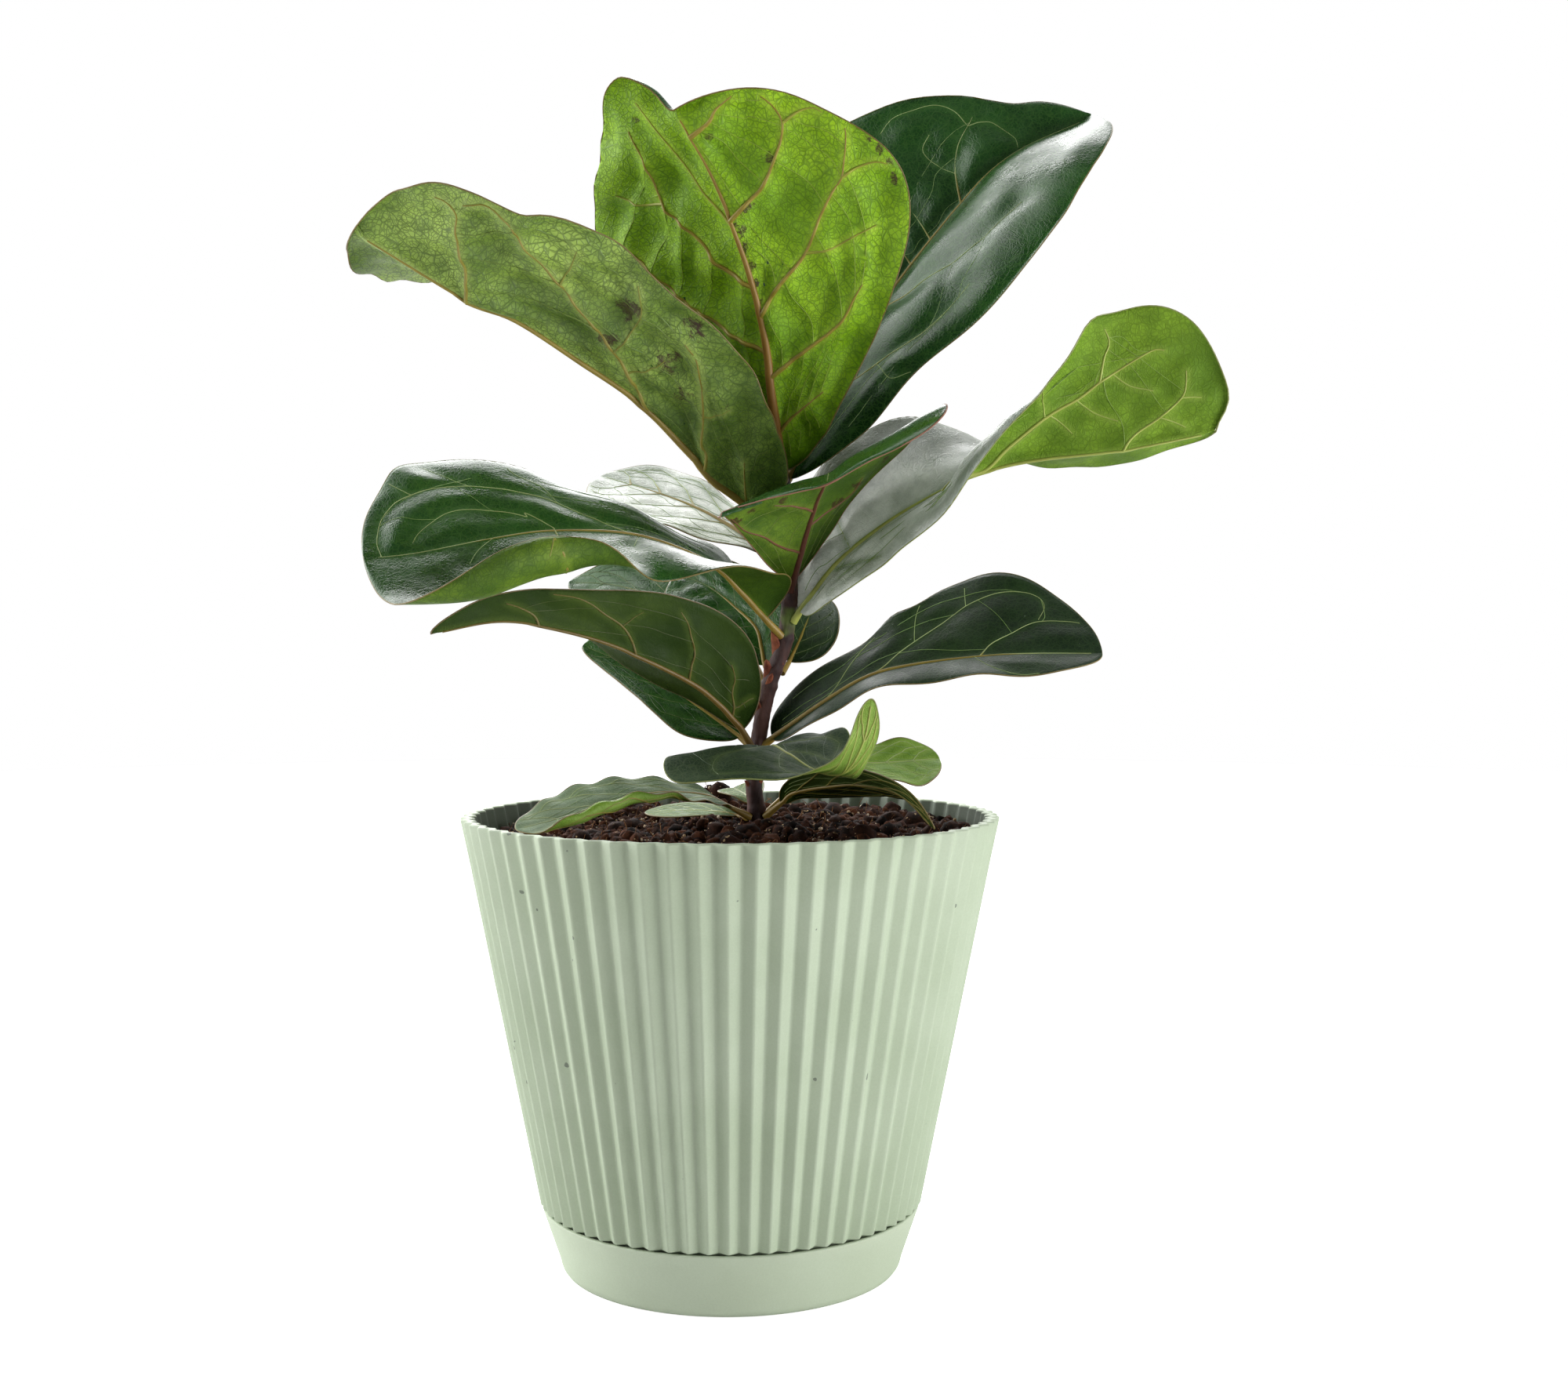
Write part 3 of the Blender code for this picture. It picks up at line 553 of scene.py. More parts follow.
# Pale grey-green top of the low leaves: a painted sheen over their green.
PALE_UPPER = SkinFinish(
    "leaf_top_pale", (134, 154, 124), (104, 128, 94), (150, 164, 134), (140, 158, 116),
    roughness=0.60, net_share=0.45, bump=0.4, net_height=-0.6, specular=0.10,
)
SHEEN_UPPER = SkinFinish(
    "leaf_top_silvery", (52, 92, 42), (34, 70, 30), (88, 122, 66), (90, 124, 66),
    roughness=0.42, net_share=0.45, bump=0.5, net_height=-0.8, specular=0.9,
)
BROWN_VEINS = VeinFinish(
    "veins_orange_brown", (150, 100, 40), (156, 150, 52), (148, 176, 54), (122, 104, 50)
)
TAN_VEINS = VeinFinish(
    "veins_tan", (152, 126, 52), (144, 142, 58), (118, 142, 60), (124, 110, 60)
)
PURPLE_VEINS = VeinFinish(
    "veins_purple_brown", (88, 44, 36), (120, 84, 54), (112, 130, 56), (150, 104, 84)
)
# Darker copy of the tan veins: painted shade for a leaf that hangs in shade.
SHADED_TAN_VEINS = VeinFinish(
    "veins_tan_shaded", (120, 94, 42), (104, 102, 44), (70, 86, 34), (110, 96, 64)
)
YELLOW_VEINS = VeinFinish(
    "veins_yellow_green", (164, 172, 80), (170, 184, 90), (140, 170, 74), (140, 150, 84)
)
PALE_VEINS = VeinFinish(
    "veins_pale_green", (178, 190, 128), (164, 184, 120), (126, 158, 90), (128, 124, 88), 0.5
)
# Darker copy of the pale green veins: painted shade for the top veins of leaves in shade.
SHADED_PALE_VEINS = VeinFinish(
    "veins_pale_green_shaded", (112, 128, 72), (84, 108, 58), (52, 82, 40), (100, 100, 66), 0.5
)


# Mesh helpers


def unit(vectors: Array) -> Array:
    """Vectors of length one."""
    return vectors / np.maximum(np.linalg.norm(vectors, axis=-1, keepdims=True), 1e-12)


def bell(values: Array, spread: float) -> Array:
    """Share that falls smoothly from 1 to 0 as the values leave 0."""
    return np.exp(-((values / spread) ** 2))


def marks_along(points: Array) -> Array:
    """Distances of points from the first one, along their line."""
    return np.concatenate([[0], np.cumsum(np.linalg.norm(np.diff(points, axis=0), axis=1))])


def spline(points: Any, places: Any) -> Array:
    """Smooth line through points.

    Args:
        points: Points or numbers along the line.
        places: Places counted from 0 to the number of points less one.

    Returns:
        The line's points or numbers at those places.
    """
    values = np.asarray(points, float)
    if values.ndim == 1:
        return spline(values[:, None], places)[:, 0]
    ends = np.vstack([2 * values[0] - values[1], values, 2 * values[-1] - values[-2]])
    places = np.clip(np.asarray(places, float), 0, len(values) - 1)
    first = np.minimum(places.astype(int), len(values) - 2)
    share = (places - first)[:, None]
    p0, p1, p2, p3 = ends[first], ends[first + 1], ends[first + 2], ends[first + 3]
    square = (2 * p0 - 5 * p1 + 4 * p2 - p3) * share**2
    cube = (3 * p1 - p0 - 3 * p2 + p3) * share**3
    return 0.5 * (2 * p1 + (p2 - p0) * share + square + cube)


def along(values: Any, share: Array) -> Array:
    """Value that changes along the blade.

    Args:
        values: Numbers or directions at evenly spaced stations.
        share: Shares of the length, in an array of any shape.

    Returns:
        The values at those shares.
    """
    stations = np.asarray(values, float)
    if len(stations) == 1:
        return np.broadcast_to(stations[0], np.shape(share) + stations.shape[1:])
    flat = np.clip(np.ravel(share), 0, 1) * (len(stations) - 1)
    return spline(stations, flat).reshape(np.shape(share) + stations.shape[1:])


@dataclass(frozen=True)
class View:
    """Viewpoint of the photograph, in metres and degrees."""

    place: Point = (0.0, -0.680, 0.2286)
    pitch: float = 2.28
    yaw: float = 1.59
    lens: float = 43.99
    sensor: float = 36.0
    width: float = 2000.0
    height: float = 1778.0

    def axes(self) -> tuple[Array, Array, Array]:
        """Directions to the right, upwards and forwards."""
        pitch, yaw = math.radians(self.pitch), math.radians(self.yaw)
        level = math.cos(pitch)
        forward = np.array((math.sin(yaw) * level, math.cos(yaw) * level, -math.sin(pitch)))
        right = np.array((math.cos(yaw), -math.sin(yaw), 0.0))
        return right, np.cross(right, forward), forward

    def project(self, points: Array) -> Array:
        """Places in the photograph's frame of points in millimetres."""
        right, upward, forward = self.axes()
        away = points * MM - np.array(self.place)
        scale = self.width * self.lens / self.sensor / (away @ forward)
        x, y = scale * (away @ right), scale * (away @ upward)
        return np.stack([self.width / 2 + x, self.height / 2 - y], -1)


VIEW = View()


class Line:
    """Curved line measured by its length, straight past both ends."""

    def __init__(self, points: Any, samples: int = 300) -> None:
        """Sample the smooth line through the points."""
        self.points = spline(points, np.linspace(0, len(points) - 1, samples))
        self.marks = marks_along(self.points)
        self.length = float(self.marks[-1])

    def at(self, distance: Any) -> Array:
        """Points at distances from the start."""
        distance = np.asarray(distance, float)
        parts = [np.interp(distance, self.marks, self.points[:, axis]) for axis in range(3)]
        start = unit(self.points[1] - self.points[0])
        end = unit(self.points[-1] - self.points[-2])
        before = np.minimum(distance, 0)[..., None] * start
        after = np.maximum(distance - self.length, 0)[..., None] * end
        return np.stack(parts, -1) + before + after

    def heading(self, distance: Any, reach: float) -> Array:
        """Direction of the line at distances from the start."""
        return unit(self.at(np.asarray(distance) + reach) - self.at(np.asarray(distance) - reach))


def mesh_object(name: str, points: Any, faces: Any, *materials: Material) -> Thing:
    """Make an object from points and faces.

    Args:
        name: Name of the object.
        points: Points in metres.
        faces: Corners of each face, looking outwards.
        materials: Materials of its slots.

    Returns:
        The object, linked to the scene.
    """
    mesh = bpy.data.meshes.new(name)
    mesh.from_pydata(np.asarray(points, float).tolist(), [], faces)
    mesh.update()
    mesh.polygons.foreach_set("use_smooth", [True] * len(mesh.polygons))
    for material in materials:
        mesh.materials.append(material)
    item = bpy.data.objects.new(name, mesh)
    bpy.context.scene.collection.objects.link(item)
    return item


def keep_number(item: Thing, name: str, values: Array) -> None:
    """Store a number for each point of the object's mesh."""
    layer = item.data.attributes.new(name, "FLOAT", "POINT")
    layer.data.foreach_set("value", np.asarray(values, np.float32))


def keep_flat_map(item: Thing, coords: Array) -> None:
    """Store a flat map given at the points of the object's mesh."""
    corners = np.zeros(len(item.data.loops), np.int32)
    item.data.loops.foreach_get("vertex_index", corners)
    layer = item.data.uv_layers.new(name="flat")
    layer.data.foreach_set("uv", np.asarray(coords, np.float32)[corners].ravel())


def join(items: list[Thing]) -> Thing:
    """Join objects into the first one."""
    with bpy.context.temp_override(
        active_object=items[0], object=items[0], selected_objects=items, selected_editable_objects=items
    ):
        bpy.ops.object.join()
    return items[0]


def settle(item: Thing, slot: str, *nodes: str) -> Thing:
    """Hand a finished piece to the frame, on the body root.

    Args:
        item: The piece.
        slot: Not used.
        nodes: CAD nodes that it stands for.

    Returns:
        The piece.
    """
    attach(item, "root")
    if nodes:
        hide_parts(*nodes)
    return item


def grid_faces(rows: int, columns: int, closed: bool = False, pointed: bool = False) -> Faces:
    """Faces between rows of points.

    Args:
        rows: Number of rows.
        columns: Points in each row.
        closed: True where each row is a ring.
        pointed: True where the first row and the last are single places, with triangles beside them.

    Returns:
        The corners of each face.
    """
    faces: Faces = []
    for row in range(rows - 1):
        for column in range(columns if closed else columns - 1):
            here, beside = row * columns + column, row * columns + (column + 1) % columns
            ahead, across = here + columns, beside + columns
            if pointed and row == 0:
                faces.append((here, across, ahead))
            elif pointed and row == rows - 2:
                faces.append((here, beside, ahead))
            else:
                faces.append((here, beside, across, ahead))
    return faces


def ring_angles(count: int) -> Array:
    """Angles of evenly spaced points round a full turn."""
    return np.arange(count) * 2 * math.pi / count


def search_tree(spots: Any) -> kdtree.KDTree:
    """Search tree of flat places, numbered in their order."""
    tree = kdtree.KDTree(len(spots))
    for number, (x, y) in enumerate(spots):
        tree.insert((x, y, 0.0), number)
    tree.balance()
    return tree


# Geometry node trees


class Growth:
    """Geometry node trees for the parts that repeat or follow a line."""

    def __init__(self) -> None:
        """Build each tree once."""
        self.rod = self.build_rod()
        self.round = self.build_round()
        self.scatter = self.build_scatter()
        self.fibre = self.build_fibre()

    @staticmethod
    def start(name: str, inputs: dict[str, str]) -> tuple[Tree, Any, Any]:
        """Start a tree that is given a geometry and a material beside its own inputs."""
        sockets = {"Geometry": GEOMETRY, **inputs, "Material": MATERIAL}
        return new_group(name, sockets, {"Geometry": GEOMETRY}, "GeometryNodeTree")

    @staticmethod
    def finish(tree: Tree, geometry: Any, given: Any, result: Any) -> NodeTree:
        """End a tree in plain mesh with its material."""
        real = tree.add("GeometryNodeRealizeInstances", {0: geometry})
        smooth = tree.add("GeometryNodeSetShadeSmooth", {"Geometry": real})
        inputs = {"Geometry": smooth, "Material": given["Material"]}
        tree.feed(result[0], tree.add("GeometryNodeSetMaterial", inputs))
        return tree.tree

    @staticmethod
    def draw(tree: Tree, low: Any, high: Any, seed: Any) -> Socket:
        """Random number between two numbers, for each point."""
        inputs = {2: low, 3: high, "Seed": seed}
        return tree.add("FunctionNodeRandomValue", inputs, data_type="FLOAT").outputs[1]

    @staticmethod
    def draw_turn(tree: Tree, low: Any, high: Any, seed: Any) -> Node:
        """Random turn between two turns, for each point."""
        inputs = {0: low, 1: high, "Seed": seed}
        return tree.add("FunctionNodeRandomValue", inputs, data_type="FLOAT_VECTOR")

    @staticmethod
    def spots(tree: Tree, given: Any) -> Node:
        """Points strewn over the given surface."""
        inputs = {"Mesh": given["Geometry"], "Density": given["Density"], "Seed": given["Seed"]}
        return tree.add("GeometryNodeDistributePointsOnFaces", inputs)

    @staticmethod
    def copies(tree: Tree, points: Any, instance: Any, turn: Any, scale: Any = (1.0, 1.0, 1.0)) -> Node:
        """Copies of one thing on points."""
        inputs = {"Points": points, "Instance": instance, "Rotation": turn, "Scale": scale}
        return tree.add("GeometryNodeInstanceOnPoints", inputs)

    @classmethod
    def build_rod(cls) -> NodeTree:
        """Rods along the edges of a mesh, as thick as its rod_radius says."""
        tree, given, result = cls.start("rods_on_lines", {"Sides": WHOLE})
        curve = tree.add("GeometryNodeMeshToCurve", {"Mesh": given["Geometry"]})
        radius = tree.add("GeometryNodeInputNamedAttribute", {"Name": "rod_radius"}, data_type="FLOAT")
        ring = tree.add("GeometryNodeCurvePrimitiveCircle", {"Resolution": given["Sides"], "Radius": 1.0})
        inputs = {"Curve": curve, "Profile Curve": ring, "Scale": radius, "Fill Caps": True}
        return cls.finish(tree, tree.add("GeometryNodeCurveToMesh", inputs), given, result)

    @classmethod
    def build_round(cls) -> NodeTree:
        """Copies of one strip, turned round the Z axis and welded."""
        tree, given, result = cls.start("strips_round_axis", {"Count": WHOLE, "Weld": NUMBER})
        spots = tree.add("GeometryNodeMeshLine", {"Count": given["Count"], "Offset": (0.0, 0.0, 0.0)})
        step = tree.math("DIVIDE", 2.0 * math.pi, given["Count"])
        turn = tree.add("ShaderNodeCombineXYZ", {"Z": tree.times(tree.add("GeometryNodeInputIndex"), step)})
        copies = cls.copies(tree, spots, given["Geometry"], turn)
        real = tree.add("GeometryNodeRealizeInstances", {0: copies})
        weld = tree.add("GeometryNodeMergeByDistance", {"Geometry": real, "Distance": given["Weld"]})
        return cls.finish(tree, weld, given, result)

    @classmethod
    def build_scatter(cls) -> NodeTree:
        """Lumpy grains of mixed size strewn over a surface."""
        numbers = ("Density", "Small", "Large", "Flatness", "Lumps", "Sink")
        sockets = {**dict.fromkeys(numbers, NUMBER), "Detail": WHOLE, "Seed": WHOLE}
        tree, given, result = cls.start("grains_on_surface", sockets)
        grain = tree.add("GeometryNodeMeshIcoSphere", {"Radius": 1.0, "Subdivisions": given["Detail"]})
        turn = cls.draw_turn(tree, (-3.2, -3.2, -3.2), (3.2, 3.2, 3.2), given["Seed"])
        share = tree.math("POWER", cls.draw(tree, 0.0, 1.0, tree.plus(given["Seed"], 7.0)), 2.5)
        spread = tree.math("SUBTRACT", given["Large"], given["Small"])
        size = tree.plus(given["Small"], tree.times(share, spread))
        sizes = {"X": size, "Y": tree.times(size, 0.8), "Z": tree.times(size, given["Flatness"])}
        scale = tree.add("ShaderNodeCombineXYZ", sizes)
        copies = cls.copies(tree, cls.spots(tree, given), grain, turn, scale)
        real = tree.add("GeometryNodeRealizeInstances", {0: copies})
        rough = tree.add("ShaderNodeTexNoise", {"Scale": 700.0, "Detail": 2.0})
        down = tree.add("ShaderNodeCombineXYZ", {"Z": tree.times(given["Sink"], -1.0)})
        offset = tree.vectors("ADD", tree.wander(rough, given["Lumps"]), down)
        moved = tree.add("GeometryNodeSetPosition", {"Geometry": real, "Offset": offset})
        return cls.finish(tree, moved, given, result)

    @classmethod
    def build_fibre(cls) -> NodeTree:
        """Short bent fibres that lie on a surface or stand on it."""
        numbers = ("Density", "Length", "Radius", "Bend", "Lean")
        sockets = {**dict.fromkeys(numbers, NUMBER), "Seed": WHOLE}
        tree, given, result = cls.start("fibres_on_surface", sockets)
        spots = cls.spots(tree, given)
        end = tree.add("ShaderNodeCombineXYZ", {"Z": given["Length"]})
        half = tree.times(given["Length"], 0.5)
        middle = tree.add("ShaderNodeCombineXYZ", {"X": given["Bend"], "Z": half})
        inputs = {"Resolution": 6, "Start": (0.0, 0.0, 0.0), "Middle": middle, "End": end}
        arc = tree.add("GeometryNodeCurveQuadraticBezier", inputs)
        ring = tree.add("GeometryNodeCurvePrimitiveCircle", {"Resolution": 4, "Radius": given["Radius"]})
        rod = tree.add("GeometryNodeCurveToMesh", {"Curve": arc, "Profile Curve": ring, "Fill Caps": True})
        lean, back = given["Lean"], tree.times(given["Lean"], -1.0)
        low = tree.add("ShaderNodeCombineXYZ", {"X": back, "Y": back, "Z": -3.2})
        high = tree.add("ShaderNodeCombineXYZ", {"X": lean, "Y": lean, "Z": 3.2})
        inputs = {0: spots.outputs["Rotation"], 1: cls.draw_turn(tree, low, high, given["Seed"])}
        stand = tree.add("FunctionNodeRotateRotation", inputs, rotation_space="LOCAL")
        size = cls.draw(tree, 0.5, 1.1, tree.plus(given["Seed"], 3.0))
        return cls.finish(tree, cls.copies(tree, spots, rod, stand, size), given, result)

    @staticmethod
    def grow(item: Thing, group: NodeTree, values: dict[str, Any]) -> Thing:
        """Run a tree on an object and keep the result as its plain mesh.

        Args:
            item: Object whose mesh the tree starts from.
            group: The tree.
            values: Values of its named inputs.

        Returns:
            The same object with the finished mesh.
        """
        modifier = item.modifiers.new(group.name, "NODES")
        modifier.node_group = group
        for socket in group.interface.items_tree:
            if socket.item_type == "SOCKET" and socket.in_out == "INPUT" and socket.name in values:
                modifier[socket.identifier] = values[socket.name]
        bpy.context.view_layer.update()
        depsgraph = bpy.context.evaluated_depsgraph_get()
        done = item.evaluated_get(depsgraph)
        mesh = bpy.data.meshes.new_from_object(done, preserve_all_data_layers=True, depsgraph=depsgraph)
        item.modifiers.clear()
        item.data = mesh
        return item

    def turn_round(self, strip: Thing, count: int, material: Material) -> Thing:
        """Repeat a narrow strip round the axis and weld the copies."""
        return self.grow(strip, self.round, {"Count": count, "Weld": 0.01 * MM, "Material": material})


# Leaves


@dataclass(frozen=True)
class Scar:
    """Patch of brown speckles: place in the photograph's frame, radius in millimetres."""

    x: float
    y: float
    radius: float
    amount: float = 0.5


def scars(*rows: tuple[float, ...]) -> tuple[Scar, ...]:
    """Patches from rows of their numbers."""
    return tuple(Scar(*row) for row in rows)


@dataclass(frozen=True)
class Trace:
    """Vein followed in the photograph, as places in its frame."""

    rank: float
    points: tuple[tuple[float, float], ...]


def midrib(*places: float) -> Trace:
    """Trace of a midrib or of a side vein as strong as one, from x and y of each place."""
    return Trace(MAIN_RANK, tuple(zip(places[::2], places[1::2])))


def side_vein(*places: float) -> Trace:
    """Trace of a side vein."""
    return Trace(SIDE_RANK, tuple(zip(places[::2], places[1::2])))


def branch(*places: float) -> Trace:
    """Trace of a branch of a side vein."""
    return Trace(BRANCH_RANK, tuple(zip(places[::2], places[1::2])))


MAIN_RANK = 0.1
SIDE_RANK = 0.25
BRANCH_RANK = 0.45
LINK_RANK = 0.7
ROOT_SHARES = {MAIN_RANK: 0.72, SIDE_RANK: 0.40, BRANCH_RANK: 0.26}
FIRST_SEED = 100


# Start on the midrib, lean and bend of each side vein of a leaf whose veins the photograph hides
SIDE_VEINS = (
    (0.09, 0.26, 0.10), (0.26, 0.30, 0.10), (0.46, 0.30, 0.10), (0.66, 0.24, 0.10), (0.83, 0.12, 0.04),
)
SIDE_REACH = 0.86


@dataclass(frozen=True)
class LeafForm:
    """One leaf in millimetres; lists run from the base of the blade to its tip."""

    name: str
    stalk: Point
    rib: tuple[Point, ...]
    face: tuple[Point, ...]
    left: tuple[float, ...]
    right: tuple[float, ...]
    fold_left: tuple[float, ...] = (20.0,)
    fold_right: tuple[float, ...] = (20.0,)
    curl_left: tuple[float, ...] = (0.0,)
    curl_right: tuple[float, ...] = (0.0,)
    curl_power: float = 2.0
    wave: tuple[float, float, float] = (0.0, 3.0, 0.0)
    slant: float = 0.0
    tips: tuple[float, float] = (0.0, 0.0)
    upper: SkinFinish = DARK_UPPER
    under: SkinFinish = OLIVE_UNDER
    veins: VeinFinish = TAN_VEINS
    top_veins: VeinFinish = PALE_VEINS
    side_veins: tuple[tuple[float, float, float], ...] = SIDE_VEINS
    traces: tuple[Trace, ...] = ()
    bulges: tuple[tuple[float, float, float, float], ...] = ()
    scars: tuple[Scar, ...] = ()
    swell: float = 1.2
    quilt: float = 0.10
    links: int = 3
    # Painted shade near the base of the blade: reach in millimetres and depth.
    base_shade: tuple[float, float] = (16.0, 0.8)
    # Painted sheen on the top skin, fading out from the base: reach in millimetres and depth.
    bloom: tuple[float, float] = (1.0, 0.0)
    rib_radius: float = 1.6
    spacing: float = 1.8


@dataclass(frozen=True)
class Vein:
    """Line of a vein in the flat blade, from its thick end to its thin end."""

    path: Array
    root: float
    end: float
    rank: float


class Blade:
    """Thin curved surface of one leaf, in millimetres."""

    VEIN_LEAD = 0.20
    TIP_LENGTH = 0.20
    TIP_WIDTH = 7.0
    BEND_STEPS = 12
    TABLE_ROWS = 161
    TABLE_REACHES = 41
    SNAP = 7.0
    FOLD_GAP = 4.0
    STEP = 0.4
    FAR = 9.0
    SAMPLE = 0.7
    MAIN_SPREAD = 5.5
    LINK_SPREAD = 2.6
    WAVE_SPREAD = 3.0
    FOUND_PLACES = 16
    MIXED_PLACES = 4

    def __init__(self, form: LeafForm, seed: int) -> None:
        """Lay out the blade and its veins."""
        self.form = form
        self.line = Line(form.rib)
        self.rows = np.linspace(0, 1, self.TABLE_ROWS)
        reaches = np.linspace(-1, 1, self.TABLE_REACHES)
        curves = [self.flat(self.rows, np.full(self.TABLE_ROWS, reach))[0] for reach in reaches]
        self.table = np.array(curves)
        self.random = np.random.default_rng(seed)
        self.phases = self.random.uniform(0, 2 * math.pi, 6)
        self.seen = self.seen_places()
        self.scar_spots = [self.scar_spot(scar) for scar in form.scars]
        self.veins = self.plan_veins()
        self.main_lines = self.line_tree(vein for vein in self.veins if vein.rank < LINK_RANK)
        self.link_lines = self.line_tree(vein for vein in self.veins if vein.rank >= LINK_RANK)

    def half_width(self, share: Array, side: Array) -> Array:
        """Half width of the flat blade on one side or the other."""
        width = np.where(side > 0, along(self.form.right, share), along(self.form.left, share))
        place = np.clip(share, 0, 1)
        for where, middle, spread, push in self.form.bulges:
            width = width + push * bell(place - middle, spread) * (side == where)
        return width * np.sqrt(1 - place**8) * np.sqrt(1 - (1 - place) ** 14)

    def flat(self, rows: Array, reach: Array) -> tuple[Array, Array]:
        """Place in the flat blade.

        Args:
            rows: Stations of the margin, from 0 at the base to 1 at the tip.
            reach: Shares of the half width, negative on the left.

        Returns:
            Shares of the length, and distances from the midrib.
        """
        side = np.where(reach >= 0, 1, -1)
        margin = 0.5 * (1 - np.cos(np.pi * rows))
        middle = margin - self.VEIN_LEAD * np.sin(np.pi * rows) ** 2
        aside = self.half_width(margin, side) * reach
        slanted = margin + side * self.form.slant * margin**3 * (1 - margin**8)
        share = middle + (slanted - middle) * np.abs(reach)
        lobe = np.where(side > 0, self.form.tips[1], self.form.tips[0])
        lobe = lobe * bell(1 - margin, self.TIP_LENGTH) * (1 - bell(aside, self.TIP_WIDTH))
        return share + lobe, aside

    def rows_at(self, share: Array, reach: Array) -> Array:
        """Stations whose lines pass the given shares of the length at the given reaches."""
        place = (np.clip(reach, -1, 1) + 1) * 0.5 * (self.TABLE_REACHES - 1)
        first = np.minimum(place.astype(int), self.TABLE_REACHES - 2)
        mix = (place - first)[:, None]
        curves = self.table[first] * (1 - mix) + self.table[first + 1] * mix
        return np.array([np.interp(value, curve, self.rows) for value, curve in zip(share, curves)])

    def bend(self, share: Array, aside: Array) -> tuple[Array, Array]:
        """Place the flat blade in space, folded at the rib and curled at its margins.

        Args:
            share: Shares of the length.
            aside: Distances from the midrib, negative on the left.

        Returns:
            Points, and the direction square to the rib at each.
        """
        form = self.form
        distance = share * self.line.length
        middle = self.line.at(distance)
        heading = self.line.heading(distance, 0.02 * self.line.length)
        up = along([unit(np.array(face, float)) for face in form.face], share)
        up = unit(up - (up * heading).sum(-1, keepdims=True) * heading)
        across = np.cross(heading, up)
        right = aside >= 0

        def both(right_values: Any, left_values: Any) -> Array:
            """Values of the side that each place lies on."""
            return np.where(right, along(right_values, share), along(left_values, share))

        width = both(form.right, form.left)
        fold = both(form.fold_right, form.fold_left)
        curl = both(form.curl_right, form.curl_left)
        reach = np.abs(aside) / width
        outward = np.zeros_like(share)
        upward = np.zeros_like(share)
        for step in range(self.BEND_STEPS):
            part = reach * (step + 0.5) / self.BEND_STEPS
            angle = np.radians(fold + curl * part**form.curl_power)
            outward += np.cos(angle) * reach / self.BEND_STEPS
            upward += np.sin(angle) * reach / self.BEND_STEPS
        height, count, start = form.wave
        ripple = height * np.sin(2 * np.pi * (count * share + start + 0.37 * right)) * reach**2
        outward = outward * width * np.sign(aside)
        upward = upward * width + ripple
        return middle + across * outward[..., None] + up * upward[..., None], up

    def surface(self, rows: Array, reach: Array) -> tuple[Array, Array]:
        """Middle surface with the swelling between the veins.

        Args:
            rows: Stations of the margin.
            reach: Shares of the half width.

        Returns:
            Points and the directions square to the surface.
        """
        share, aside = self.flat(rows, reach)
        side = np.where(aside >= 0, 1.0, -1.0)
        here, up = self.bend(share, aside)
        ahead, _ = self.bend(share + self.STEP / self.line.length, aside)
        beside, _ = self.bend(share, aside + side * self.STEP)
        normal = unit(np.cross((beside - here) * side[..., None], ahead - here))
        weight = np.clip(np.abs(aside) / 2.5, 0, 1)[..., None]
        normal = unit(up * (1 - weight) + normal * weight)
        return here + normal * self.lift(share, aside, reach)[..., None], normal

    def lift(self, share: Array, aside: Array, reach: Array) -> Array:
        """Height of the swelling between the veins and of the loose waves."""
        flat = np.stack([share * self.line.length, aside], -1).reshape(-1, 2)
        near = self.gap(self.main_lines, flat).reshape(share.shape)
        links = self.gap(self.link_lines, flat).reshape(share.shape)
        edge = 1 - 0.6 * np.abs(reach) ** 6
        swell = self.form.swell * (1 - bell(near, self.MAIN_SPREAD)) * edge
        small = (0.15 + self.form.quilt) * self.form.swell
        swell += small * (1 - bell(links, self.LINK_SPREAD)) * edge
        x, y = flat[:, 0].reshape(share.shape), flat[:, 1].reshape(share.shape)
        p = self.phases
        loose = np.sin(x / 9.0 + p[0] + np.sin(y / 11.0 + p[1])) * np.sin(y / 8.0 + p[2])
        fine = np.sin(x / 3.6 + p[3] + 0.8 * np.sin(y / 4.0)) * np.sin(y / 3.9 + p[4])
        waves = self.form.swell * (0.40 * loose + self.form.quilt * fine)
        return swell + waves * (1 - bell(near, self.WAVE_SPREAD))

    def gap(self, tree: kdtree.KDTree | None, flat: Array) -> Array:
        """Distances to the nearest of some lines, in millimetres."""
        if tree is None:
            return np.full(len(flat), self.FAR)
        return np.array([tree.find((x, y, 0.0))[2] for x, y in flat])

    def line_tree(self, veins: Any) -> kdtree.KDTree | None:
        """Search tree of points along the veins in the flat blade."""
        spots = []
        for vein in veins:
            share, aside = self.flat(vein.path[:, 0], vein.path[:, 1])
            flat = np.stack([share * self.line.length, aside], -1)
            marks = marks_along(flat)
            places = np.arange(0, marks[-1], self.SAMPLE)
            spots += list(np.stack([np.interp(places, marks, flat[:, axis]) for axis in range(2)], -1))
        return search_tree(spots) if spots else None

    def path(self, shares: Any, reaches: Any, count: int) -> Array:
        """Smooth path through places in the flat blade, as stations and reaches.

        Args:
            shares: Shares of the length.
            reaches: Shares of the half width.
            count: Number of points of the path.

        Returns:
            Rows of station and reach.
        """
        smooth = spline(np.stack([shares, reaches], -1), np.linspace(0, len(shares) - 1, count))
        rows = self.rows_at(smooth[:, 0], smooth[:, 1])
        return np.stack([np.clip(rows, 0, 0.995), smooth[:, 1]], -1)

